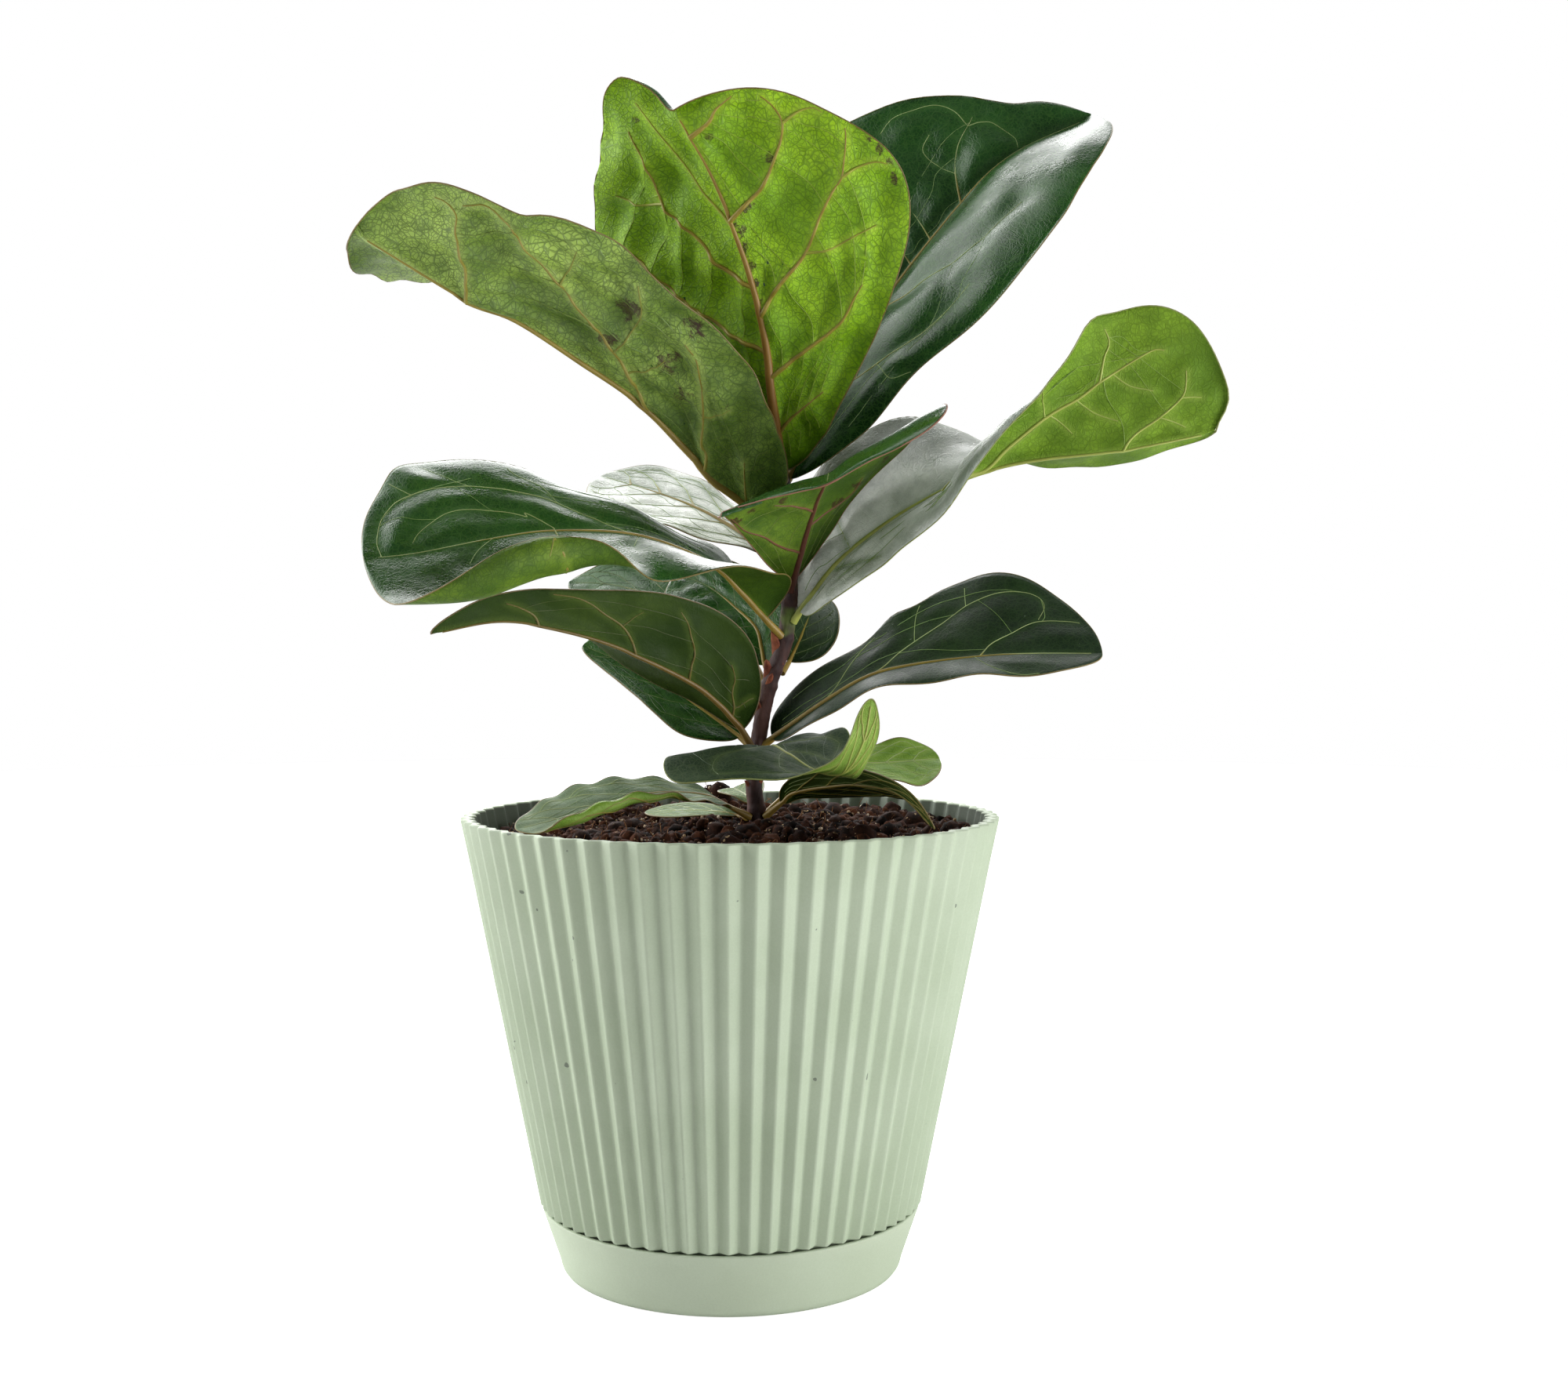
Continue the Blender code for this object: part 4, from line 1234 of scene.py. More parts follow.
    def seen_places(self) -> tuple[Array, Array, kdtree.KDTree] | None:
        """Places of the blade as the photograph has them.

        Returns:
            Rows of station and reach, their distances and a search tree of their picture places.
        """
        if not self.form.traces and not self.form.scars:
            return None
        rows, reach = np.meshgrid(np.linspace(0, 0.99, 140), np.linspace(-0.97, 0.97, 71), indexing="ij")
        points, _ = self.bend(*self.flat(rows.ravel(), reach.ravel()))
        away = np.linalg.norm(points - np.array(VIEW.place) / MM, axis=1)
        return np.stack([rows.ravel(), reach.ravel()], -1), away, search_tree(VIEW.project(points))

    def locate(self, x: float, y: float) -> Array:
        """Station and reach of the blade seen at a place of the photograph, on its nearest fold."""
        places, away, tree = self.seen
        found = [(number, gap) for _, number, gap in tree.find_n((x, y, 0.0), self.FOUND_PLACES)]
        nearest = min(away[number] for number, _ in found)
        front = [(number, gap) for number, gap in found if away[number] < nearest + self.FOLD_GAP]
        front = front[: self.MIXED_PLACES]
        weights = np.array([1.0 / (gap + 0.3) for _, gap in front])
        return (places[[number for number, _ in front]] * weights[:, None]).sum(0) / weights.sum()

    def scar_spot(self, scar: Scar) -> tuple[Array, Scar]:
        """Place of a patch of speckles in the flat blade, in millimetres."""
        row, reach = self.locate(scar.x, scar.y)
        share, aside = self.flat(np.array([row]), np.array([reach]))
        return np.array((share[0] * self.line.length, aside[0])), scar

    def plan_veins(self) -> list[Vein]:
        """Midrib, side veins, their loops at the margin and the links between them."""
        radius = self.form.rib_radius
        rib = np.linspace(0.0, 0.97, 60)
        veins = [Vein(np.stack([self.rows_at(rib, np.zeros(60)), np.zeros(60)], -1), radius, 0.30, 0.0)]
        traced: dict[int, list[Array]] = {-1: [], 1: []}
        for trace in self.form.traces:
            vein = self.follow(trace, veins)
            veins.append(vein)
            if trace.rank != BRANCH_RANK:
                share, _ = self.flat(vein.path[:, 0], vein.path[:, 1])
                sign = 1 if vein.path[:, 1].mean() > 0 else -1
                traced[sign].append(np.stack([share, np.abs(vein.path[:, 1])], -1))
        for side in Side:
            sign = side.value
            paths = sorted(traced[sign], key=lambda path: path[:, 0].mean())
            for start, lean, bend in self.form.side_veins:
                reach = np.linspace(0, SIDE_REACH, 7)
                share = start + lean * reach + bend * reach**3
                share = np.minimum(share + self.random.normal(0, 0.004, 7), 0.985)
                share[0] = start
                paths.append(np.stack([share, reach], -1))
                path = self.path(share, sign * reach, 26)
                veins.append(Vein(path, ROOT_SHARES[SIDE_RANK] * radius, 0.24, SIDE_RANK))
            if self.form.side_veins:
                veins += self.loops(paths, sign)
            veins += self.links(paths, sign)
        return veins

    def follow(self, trace: Trace, veins: list[Vein]) -> Vein:
        """Lay a traced vein on the blade, starting on the vein that it leaves.

        Args:
            trace: The vein as the photograph shows it.
            veins: Veins laid before it.

        Returns:
            The vein in the flat blade.
        """
        places = np.array([self.locate(x, y) for x, y in trace.points])
        others = np.vstack([vein.path for vein in veins])
        share, aside = self.flat(others[:, 0], others[:, 1])
        first_share, first_aside = self.flat(places[:1, 0], places[:1, 1])
        gaps = np.hypot((share - first_share) * self.line.length, aside - first_aside)
        if gaps.min() < self.SNAP:
            places[0] = others[gaps.argmin()]
        count = 8 * (len(places) - 1) + 1
        path = spline(places, np.linspace(0, len(places) - 1, count))
        return Vein(path, ROOT_SHARES[trace.rank] * self.form.rib_radius, 0.20, trace.rank)

    def loops(self, paths: list[Array], sign: int) -> list[Vein]:
        """Arcs near the margin from the end of each side vein to the next."""
        found = []
        for lower, higher in zip(paths, paths[1:]):
            start, end = lower[-1], higher[-2]
            if end[0] <= start[0] + 0.01:
                continue
            middle = (start + end) / 2 + np.array([0.0, 0.045])
            shares = np.array([start[0], middle[0], end[0]])
            reaches = np.minimum([start[1], middle[1], end[1]], 0.95) * sign
            found.append(Vein(self.path(shares, reaches, 10), 0.24, 0.18, BRANCH_RANK))
        return found

    def links(self, paths: list[Array], sign: int) -> list[Vein]:
        """Thin veins that divide the fields between the side veins."""

        def at(path: Array, share: float) -> Array:
            """Place at a share of the points of a path."""
            places = np.linspace(0, 1, len(path))
            return np.array([np.interp(share, places, path[:, axis]) for axis in range(2)])

        found = []
        bounds = [np.array([[0.03, 0.0], [0.05, 0.35], [0.12, 0.8]])] + paths
        count = self.form.links
        for lower, higher in zip(bounds, bounds[1:]):
            for number in range(count):
                here = (number + 0.6 + self.random.uniform(-0.2, 0.2)) / count
                there = min(max(here - 0.10 + self.random.uniform(-0.10, 0.06), 0.04), 0.98)
                start, end = at(lower, here), at(higher, there)
                kink = self.random.uniform(-0.035, 0.035, (2, 2)) * np.array([0.4, 1.0])
                near, far = start * 0.64 + end * 0.36 + kink[0], start * 0.34 + end * 0.66 + kink[1]
                points = np.array([start, near, far, end])
                points[:, 1] = np.clip(points[:, 1], 0.01, 0.95)
                found.append(Vein(self.path(points[:, 0], points[:, 1] * sign, 12), 0.15, 0.10, LINK_RANK))
        return found

    def scar_amounts(self, share: Array, aside: Array) -> Array:
        """Amount of brown speckles at places of the blade."""
        amount = np.zeros_like(share)
        for (x, y), scar in self.scar_spots:
            gap = (share * self.line.length - x) ** 2 + (aside - y) ** 2
            amount = np.maximum(amount, scar.amount * np.exp(-gap / scar.radius**2))
        return amount


class Leaf:
    """One leaf: its two skins, its veins, its margin and its stalk."""

    THICKNESS = 0.42
    MARGIN_RADIUS = 0.26
    MARGIN_ROWS = 90
    STALK_RADIUS = 1.5
    STALK_STEPS = 8
    UPPER_SHARE = 0.55
    UPPER_RADII = (0.13, 0.45)

    def __init__(self, form: LeafForm, seed: int, growth: Growth, paint: "Paints") -> None:
        """Keep the form and lay out the blade."""
        self.form = form
        self.blade = Blade(form, seed)
        self.growth = growth
        self.paint = paint

    def build(self) -> Thing:
        """Build the leaf and hand it to the frame.

        Returns:
            The finished piece.
        """
        leaf = join([self.build_skins(), self.build_veins(Skin.UNDER), self.build_veins(Skin.UPPER)])
        leaf.name = leaf.data.name = self.form.name + "_leaf"
        node = "leaf_" + self.form.name
        return settle(leaf, node, node)

    def build_skins(self) -> Thing:
        """Upper and lower skin with the strip that closes them.

        Returns:
            Object with the flat map and the numbers that the finishes read.
        """
        form, blade = self.form, self.blade
        count = int(math.ceil(blade.line.length * 1.1 / form.spacing))
        half = int(math.ceil(max(form.left + form.right) / form.spacing))
        rows = np.linspace(0, 1, count + 1)
        spread = np.linspace(0, 1, half + 1)
        reach = np.concatenate([-spread[::-1], spread[1:]])
        places = np.meshgrid(rows, reach, indexing="ij")
        points, _ = blade.surface(*places)
        share, aside = blade.flat(*places)
        points[0], points[-1] = points[0, half], points[-1, half]
        normals = unit(np.cross(np.gradient(points, axis=1), np.gradient(points, axis=0)))
        normals[0], normals[-1] = unit(normals[1].mean(0)), unit(normals[-2].mean(0))

        def keep(grid: Array) -> Array:
            """Points of the grid with each end as one point."""
            inner = grid[1:count].reshape((-1,) + grid.shape[2:])
            return np.concatenate([grid[0, half][None], inner, grid[count, half][None]])

        middle, half_skin = keep(points), keep(normals) * self.THICKNESS / 2
        faces, rim = self.skin_faces(count, len(reach))
        total = len(middle)
        solid = faces + [tuple(corner + total for corner in reversed(face)) for face in faces]
        solid += [(there, here, here + total, there + total) for here, there in zip(rim, rim[1:] + rim[:1])]
        materials = [self.paint.get(finish) for finish in (form.upper, form.under, form.veins)]
        both = np.vstack([middle + half_skin, middle - half_skin]) * MM
        item = mesh_object(form.name, both, solid, *materials)
        index = [0] * len(faces) + [1] * len(faces) + [2] * len(rim)
        item.data.polygons.foreach_set("material_index", index)
        flat = keep(np.stack([share * blade.line.length, aside], -1)) / DECIMETRE
        keep_flat_map(item, np.vstack([flat, flat]))
        gap = blade.gap(blade.main_lines, flat * DECIMETRE)
        keep_number(item, "vein_gap", np.tile(gap, 2))
        keep_number(item, "scar", np.tile(keep(blade.scar_amounts(share, aside)), 2))
        distance = keep(share) * blade.line.length
        # Painted shade: a share that falls off with the distance from the base.
        reach, depth = form.base_shade
        keep_number(item, "base_shade", np.tile(depth * bell(distance, reach), 2))
        # Painted sheen: a share that fades out along the blade, stored for the top skin only.
        reach, depth = form.bloom
        bloom = depth * np.exp(-((distance / reach) ** 4))
        keep_number(item, "bloom", np.concatenate([bloom, np.zeros(total)]))
        keep_number(item, "rank", np.ones(2 * total))
        return item

    @staticmethod
    def skin_faces(count: int, wide: int) -> tuple[Faces, list[int]]:
        """Faces of the upper skin and the points round its margin.

        Args:
            count: Number of rows of faces.
            wide: Number of points across.

        Returns:
            The faces and the margin's points in order.
        """

        def index(row: int, column: int) -> int:
            """Number of a point of the grid."""
            if row == 0:
                return 0
            if row == count:
                return 1 + (count - 1) * wide
            return 1 + (row - 1) * wide + column

        faces: Faces = []
        for row in range(count):
            for column in range(wide - 1):
                here, beside = index(row, column), index(row, column + 1)
                across, ahead = index(row + 1, column + 1), index(row + 1, column)
                corners = (here, beside, across, ahead)
                if row == 0:
                    corners = (here, across, ahead)
                elif row == count - 1:
                    corners = (here, beside, ahead)
                faces.append(corners)
        rim = [0] + [index(row, wide - 1) for row in range(1, count)]
        rim += [index(count, 0)] + [index(row, 0) for row in range(count - 1, 0, -1)]
        return faces, rim

    def build_veins(self, skin: Skin) -> Thing:
        """Veins of one face as tapering rods along their lines.

        Args:
            skin: Face that they stand on; the stalk and the margin belong to the underside.

        Returns:
            Object with the rods.
        """
        points: list[Array] = []
        edges: Faces = []
        radii: list[float] = []
        ranks: list[float] = []

        def add(path: Array, radius: Array, rank: Array, closed: bool = False) -> None:
            """Add one line with its radii and ranks."""
            first = len(radii)
            points.append(path)
            radii.extend(radius)
            ranks.extend(rank)
            edges.extend((first + step, first + step + 1) for step in range(len(path) - 1))
            if closed:
                edges.append((first + len(path) - 1, first))

        for vein in self.blade.veins:
            place, normal = self.blade.surface(vein.path[:, 0], vein.path[:, 1])
            share = np.linspace(0, 1, len(place))
            radius = vein.root + (vein.end - vein.root) * share**0.8
            if skin is Skin.UPPER:
                radius = np.clip(radius * self.UPPER_SHARE, *self.UPPER_RADII)
                depth = self.THICKNESS / 2 + 0.05 - 0.5 * radius
            else:
                depth = np.maximum(self.THICKNESS / 2 - 0.15 * radius, 0.0)
            path = place + skin.value * normal * depth[:, None]
            rank = np.full(len(place), vein.rank)
            if vein.rank == 0.0:
                rank = share * 0.2
                if skin is Skin.UNDER:
                    path, radius, rank = self.with_stalk(path, radius, rank)
            add(path, radius, rank)
        if skin is Skin.UNDER:
            rows = np.linspace(0, 1, self.MARGIN_ROWS)
            left, _ = self.blade.surface(rows[:-1], np.full(len(rows) - 1, -1.0))
            right, _ = self.blade.surface(rows[:0:-1], np.full(len(rows) - 1, 1.0))
            loop = np.vstack([left, right])
            add(loop, np.full(len(loop), self.MARGIN_RADIUS), np.ones(len(loop)), closed=True)
        finish = self.form.veins if skin is Skin.UNDER else self.form.top_veins
        item = mesh_object(self.form.name + "_lines", np.vstack(points) * MM, [])
        item.data.edges.add(len(edges))
        item.data.edges.foreach_set("vertices", np.array(edges, np.int32).ravel())
        item.data.update()
        keep_number(item, "rod_radius", np.array(radii) * MM)
        keep_number(item, "rank", np.array(ranks))
        values = {"Sides": 7 if skin is Skin.UNDER else 5, "Material": self.paint.get(finish)}
        return self.growth.grow(item, self.growth.rod, values)

    def with_stalk(self, path: Array, radius: Array, rank: Array) -> tuple[Array, Array, Array]:
        """Lead the midrib back along the stalk to the stem.

        Args:
            path: Points of the midrib.
            radius: Their radii.
            rank: Their ranks.

        Returns:
            The three lists with the stalk before them.
        """
        start = np.array(self.form.stalk, float)
        places = np.linspace(0, 1, self.STALK_STEPS + 1)[:-1]
        lead = spline(np.array([start, path[1], path[6], path[12]]), places)
        thick = np.linspace(self.STALK_RADIUS, radius[1], self.STALK_STEPS)
        ranks = np.concatenate([np.zeros(self.STALK_STEPS), rank[1:]])
        return np.vstack([lead, path[1:]]), np.concatenate([thick, radius[1:]]), ranks


class Paints:
    """Materials of the leaves, each made once."""

    def __init__(self, effects: Effects) -> None:
        """Start with no material made."""
        self.effects = effects
        self.made: dict[str, Material] = {}

    def get(self, finish: Any) -> Material:
        """Material of a finish, made on its first use."""
        if finish.name not in self.made:
            self.made[finish.name] = finish.material(self.effects)
        return self.made[finish.name]


LEAVES = (
    LeafForm(
        name="crown_upright", stalk=(19, -1, 277),
        rib=(
            (18, -4, 281), (15, -13, 300), (10, -26, 330), (2, -36, 355), (-8, -42, 378), (-19, -46, 395),
        ),
        face=((0.3, 0.9, 0.35),), left=(14, 26, 42, 57, 62, 56), right=(24, 38, 59, 64, 55, 18),
        bulges=((1, 0.98, 0.05, 5),), fold_left=(12,), wave=(1.0, 3.5, 0.1), tips=(0.0, 0.14), swell=2.6,
        quilt=0.50, links=5, slant=0.2, under=CROWN_UNDER, veins=BROWN_VEINS, side_veins=(),
        traces=(
            side_vein(985, 560, 1003, 540, 1025, 520, 1050, 500),
            side_vein(987, 483, 1023, 450, 1070, 413, 1090, 380, 1100, 363), side_vein(967, 403, 987, 373,
            1003, 353, 1027, 323, 1047, 277, 1060, 247, 1073, 227, 1077, 203, 1077, 163),
            branch(1073, 227, 1090, 217, 1113, 208, 1132, 210),
            branch(1030, 325, 1060, 318, 1090, 302, 1117, 288),
            side_vein(933, 278, 952, 260, 970, 240, 983, 217, 993, 187, 998, 158, 987, 137, 970, 123),
            branch(998, 158, 1017, 143, 1037, 135, 1053, 135),
            side_vein(888, 170, 903, 157, 913, 140, 933, 123),
            side_vein(963, 450, 930, 427, 900, 405, 877, 390, 850, 367, 830, 350, 803, 323, 787, 310),
            side_vein(943, 367, 917, 342, 893, 313, 867, 287, 842, 262, 825, 220, 810, 193, 798, 170),
            branch(842, 262, 813, 262, 783, 253),
            branch(927, 290, 910, 267, 893, 247, 870, 213, 837, 173, 807, 133),
        ),
        scars=scars(
            (942, 292, 3.5, 0.72), (949, 315, 3.5, 0.74), (956, 340, 3.5, 0.74), (962, 366, 3.5, 0.74),
            (968, 392, 3, 0.7), (980, 205, 4.5, 0.66), (952, 262, 4, 0.68), (1118, 163, 2.4, 0.74),
            (1131, 181, 2.4, 0.78), (1139, 206, 2.2, 0.74), (1142, 230, 2.4, 0.78), (803, 155, 3.5, 0.6),
            (905, 175, 3, 0.66), (1010, 130, 3, 0.55),
        ),
        rib_radius=2.3,
    ),
    LeafForm(
        name="upper_left", stalk=(18.2, -1, 261),
        rib=(
            (12, -4, 264), (-8, -14, 278), (-31, -28, 300), (-51, -38, 313), (-71, -48, 325),
            (-87, -55, 331), (-120, -66, 350),
        ),
        face=((0.3, -0.1, 0.95),), left=(30, 36, 43, 46, 44, 50), right=(20, 30, 41, 52, 52, 44),
        fold_left=(50, 50, 50, 50, 55), fold_right=(40, 40, 35, 10, -25), wave=(1.0, 3.0, 0.4),
        under=MID_UNDER, side_veins=(),
        traces=(
            side_vein(950, 650, 950, 620, 950, 590),
            side_vein(907, 603, 900, 583, 895, 567, 897, 533, 892, 487, 887, 460, 873, 440),
            branch(897, 533, 910, 532, 930, 525), side_vein(823, 530, 803, 483, 783, 450, 760, 420,
            740, 397, 713, 363, 690, 340, 657, 300, 643, 280, 617, 263, 590, 263),
            branch(783, 450, 800, 433, 818, 403, 813, 367), branch(713, 363, 727, 343, 735, 320),
            branch(802, 478, 823, 475, 847, 463),
            side_vein(602, 377, 593, 350, 583, 317, 580, 293, 578, 267, 553, 253),
        ),
        scars=scars(
            (800, 400, 9, 0.66), (775, 435, 7, 0.68), (850, 465, 8, 0.62), (885, 425, 7, 0.62),
            (870, 505, 7, 0.6), (930, 520, 5),
        ),
        rib_radius=1.7, swell=2.6, quilt=0.50, links=5, base_shade=(78.0, 0.55),
    ),
    LeafForm(
        name="upper_right", stalk=(20, 2, 278),
        rib=((21, 3, 279), (36, 13, 314), (55, 22, 343), (84, 34, 381), (105, 41, 402), (137, 52, 419)),
        face=((-0.45, -0.75, 0.61),), left=(24, 34, 50, 61, 42, 15), right=(24, 31, 41, 49, 48, 44),
        fold_left=(25,), fold_right=(15,), curl_right=(-30, -45, -50, -40, -25, 0), wave=(1.2, 3.2, 0.0),
        bulges=((-1, 0.87, 0.05, -8),), swell=1.6, base_shade=(62.0, 0.9), side_veins=(),
        traces=(
            side_vein(1160, 333, 1142, 310, 1135, 285), side_vein(1187, 303, 1170, 280, 1157, 263),
            side_vein(1227, 255, 1218, 223, 1222, 190, 1232, 162, 1245, 143),
            branch(1218, 223, 1197, 213, 1178, 195, 1185, 173),
            branch(1232, 162, 1218, 142, 1192, 135, 1163, 142, 1140, 152, 1123, 172),
            branch(1232, 162, 1250, 157, 1270, 160, 1295, 177, 1298, 190),
            side_vein(1063, 500, 1097, 480, 1140, 450, 1173, 427, 1203, 400, 1220, 383, 1237, 363),
            branch(1118, 467, 1135, 483, 1163, 475),
            side_vein(1120, 393, 1150, 377, 1180, 357, 1217, 333, 1247, 307, 1270, 287, 1303, 257),
        ),
    ),
    LeafForm(
        name="front_arched", stalk=(21, -3, 239),
        rib=(
            (22, -6, 243), (24, -14, 251), (28, -30, 265.5), (31, -44, 273), (32, -55, 276),
            (31, -66, 272),
        ),
        face=((-0.55, 0.6, 0.45), (-0.5, 0.5, 0.6), (-0.4, 0.2, 0.8), (-0.4, -0.35, 0.85)),
        left=(6, 13, 20, 32, 46, 70), right=(6, 16, 26, 34, 42, 56), fold_left=(5,), fold_right=(5,),
        under=SHADED_LIME_UNDER, veins=PURPLE_VEINS, side_veins=(),
        traces=(
            side_vein(1035, 652, 1012, 646, 987, 645),
            side_vein(1007, 710, 995, 697, 975, 685, 950, 677, 925, 675),
            side_vein(1035, 670, 1060, 650, 1085, 630, 1100, 610),
        ),
        scars=scars(
            (1070, 640, 6, 0.62), (1095, 618, 5, 0.66), (960, 655, 4, 0.66), (1000, 640, 4, 0.66),
            (940, 665, 4, 0.7), (925, 680, 4, 0.66), (1130, 590, 4, 0.6),
        ),
        rib_radius=1.5,
    ),
    LeafForm(
        name="right_turned", stalk=(22, -2, 228),
        rib=(
            (25, -3, 232), (38, -12, 249), (54, -20, 262), (71, -28, 272), (84, -32, 278),
            (103, -36, 282), (131, -40, 285), (162, -42, 291),
        ),
        face=(
            (-0.5, -0.5, 0.7), (-0.45, -0.5, 0.75), (-0.4, -0.3, 0.85), (-0.1, 0.5, 0.85), (0, 0.6, 0.8),
            (0, 0.6, 0.75),
        ),
        left=(16, 36, 38, 28, 24, 22), right=(14, 18, 17, 25, 49, 69), bulges=((1, 0.76, 0.04, 3),),
        fold_left=(20, 30, 30, 30, 30), fold_right=(0, -10, 5, 50, 50, 45),
        curl_right=(0, 0, -60, -130, -10, 0), tips=(0.0, 0.045), swell=1.6, upper=SHEEN_UPPER,
        bloom=(95.0, 0.95), under=OUTER_UNDER, veins=YELLOW_VEINS, side_veins=(),
        traces=(
            midrib(1202, 627, 1250, 600, 1287, 570, 1333, 533, 1373, 510, 1400, 490, 1420, 478, 1450, 458,
            1473, 447, 1485, 446),
            side_vein(1430, 570, 1450, 553, 1480, 533, 1507, 508, 1512, 490, 1513, 472),
            branch(1507, 508, 1533, 508), side_vein(1402, 488, 1408, 457, 1415, 437, 1410, 420),
            branch(1333, 533, 1331, 517, 1333, 503), branch(1340, 537, 1368, 553),
            branch(1373, 513, 1397, 527, 1427, 537), branch(1422, 482, 1443, 492, 1470, 499),
            branch(1477, 530, 1513, 545), side_vein(1084, 699, 1075, 680, 1067, 662),
            branch(1062, 732, 1100, 717, 1125, 710),
        ),
        rib_radius=1.2, quilt=0.25,
    ),
    LeafForm(
        name="left_glossy", stalk=(18, -2, 223),
        rib=(
            (12, -6, 229), (4, -12, 238), (-7, -20, 248), (-31, -33, 257), (-58, -44, 258),
            (-78, -52, 255), (-101, -60, 250), (-117, -64, 248),
        ),
        face=(
            (0.3, -0.3, 0.9), (0.1, -0.5, 0.86), (0, -0.70, 0.71), (0, -0.75, 0.66), (0, -0.75, 0.66),
            (0, -0.70, 0.71),
        ),
        left=(24, 22, 27, 46, 57, 49), right=(14, 14, 16, 34, 48, 51), fold_left=(90, 28, 8, 6, 0, 0),
        fold_right=(5, 5, 0, 2, 2, 2), curl_left=(0, 0, 5, 185, 235, 240),
        curl_right=(0, -10, -25, -25, -22, -22), curl_power=3.0, under=SHADED_LIME_UNDER, side_veins=(),
        traces=(
            side_vein(846, 688, 802, 680, 752, 660, 706, 640, 665, 629, 627, 624, 587, 622, 549, 624,
            524, 632, 499, 647, 485, 668, 481, 694, 487, 713),
            branch(712, 638, 690, 622, 659, 607, 646, 599), branch(596, 622, 565, 608, 540, 597),
            branch(524, 630, 496, 618), side_vein(706, 680, 690, 666, 671, 660, 643, 655, 602, 651,
            577, 654, 556, 663, 534, 682, 526, 694), branch(627, 694, 609, 704, 599, 721),
            branch(715, 683, 701, 710), branch(815, 685, 809, 697),
        ),
        wave=(1.4, 4.0, 0.3), swell=0.9, rib_radius=1.2, base_shade=(40.0, 0.6),
    ),
    LeafForm(
        name="left_rear", stalk=(19, 2, 247),
        rib=((12, 9, 253), (8, 12, 257), (-9, 26, 268), (-27, 38, 276), (-49, 50, 283)),
        face=((0.3, -0.5, 0.8),), left=(8, 18, 26, 30, 30, 24), right=(8, 12, 14, 18, 20, 14),
        fold_left=(0,), fold_right=(10,), wave=(0.8, 3.0, 0.2), upper=SHEEN_UPPER, bloom=(90.0, 0.95),
        swell=0.6,
    ),
    LeafForm(
        name="left_olive", stalk=(9, -2, 181),
        rib=(
            (4, -7, 190), (-4, -13, 199), (-14, -20, 207), (-35, -33, 218), (-55, -44, 225),
            (-75, -53, 228), (-96, -62, 224),
        ),
        face=((0.2, 0.5, 0.8),), left=(16, 26, 24, 16, 11, 7), right=(8, 16, 20, 18, 14, 7),
        fold_left=(50,), fold_right=(10, 10, 25, 30, 30), side_veins=(),
        traces=(
            side_vein(936, 919, 936, 902, 934, 884, 937, 867, 933, 848),
            branch(936, 903, 947, 898, 961, 891),
            side_vein(878, 871, 882, 851, 886, 833, 882, 812, 878, 795, 869, 781),
            side_vein(811, 835, 806, 817, 794, 799, 772, 784, 753, 770, 733, 762, 706, 758),
            branch(796, 798, 808, 788, 821, 781), side_vein(686, 795, 681, 785, 664, 776, 646, 770),
        ),
        veins=SHADED_TAN_VEINS, rib_radius=1.2, quilt=0.2,
    ),
    LeafForm(
        name="left_shaded", stalk=(9, 2, 182),
        rib=((3, 6, 187), (-4, 10, 192), (-22, 20, 204), (-40, 30, 213), (-55, 36, 219)),
        face=((0.3, -0.75, 0.6),), left=(10, 15, 14, 11, 8, 5), right=(8, 14, 20, 22, 20, 12),
        fold_left=(0,), fold_right=(15,), rib_radius=1.0, top_veins=SHADED_PALE_VEINS,
    ),
    LeafForm(
        name="inner_left", stalk=(13, 2, 204),
        rib=((6, 16, 219), (-4, 26, 226), (-24, 42, 236), (-44, 54, 242), (-62, 62, 243)),
        face=((0.2, -0.8, 0.5),), left=(8, 12, 16, 17, 15, 9), right=(8, 12, 14, 14, 12, 6),
        fold_left=(5,), fold_right=(5,), wave=(1.0, 3.0, 0.3), rib_radius=1.0, top_veins=SHADED_PALE_VEINS,
    ),
    LeafForm(
        name="inner_rear", stalk=(14.5, 2, 208),
        rib=((12, 5, 213), (11, 8, 219), (9, 12, 226), (2, 20, 233), (-8, 30, 241), (-20, 40, 246)),
        face=((-0.3, -0.8, 0.6),), left=(8, 18, 26, 28, 26, 16), right=(8, 12, 14, 14, 12, 8),
        fold_left=(10,), fold_right=(10,), rib_radius=1.0, top_veins=SHADED_PALE_VEINS,
    ),
    LeafForm(
        name="right_lower", stalk=(11, -1, 184),
        rib=(
            (15, -2, 187), (33, -7, 200), (48, -11, 209), (63, -14, 213), (85, -18, 216), (103, -20, 217),
            (128, -22, 217),
        ),
        face=((0, -0.4, 0.9),), left=(14, 14, 18, 36, 38, 26), right=(8, 8, 10, 12, 13, 12),
        bulges=((-1, 0.42, 0.05, 4),), fold_left=(25,), fold_right=(-10,), wave=(0.8, 3.5, 0.6),
        upper=GREY_UPPER, side_veins=(),
        traces=(
            side_vein(1049, 895, 1071, 870, 1099, 831, 1116, 814), side_vein(1113, 864, 1127, 851,
            1146, 834, 1166, 819, 1199, 798, 1232, 774, 1266, 759, 1293, 755, 1316, 759, 1328, 766,
            1332, 776, 1324, 791), branch(1166, 817, 1168, 789, 1173, 773), branch(1232, 774, 1231, 751),
            side_vein(1249, 837, 1263, 823, 1288, 809, 1321, 794, 1354, 793, 1377, 796),
            branch(1241, 838, 1260, 849, 1277, 856, 1299, 861, 1327, 862),
        ),
        rib_radius=1.3, swell=0.6,
    ),
    LeafForm(
        name="inner_right", stalk=(18, 2, 210),
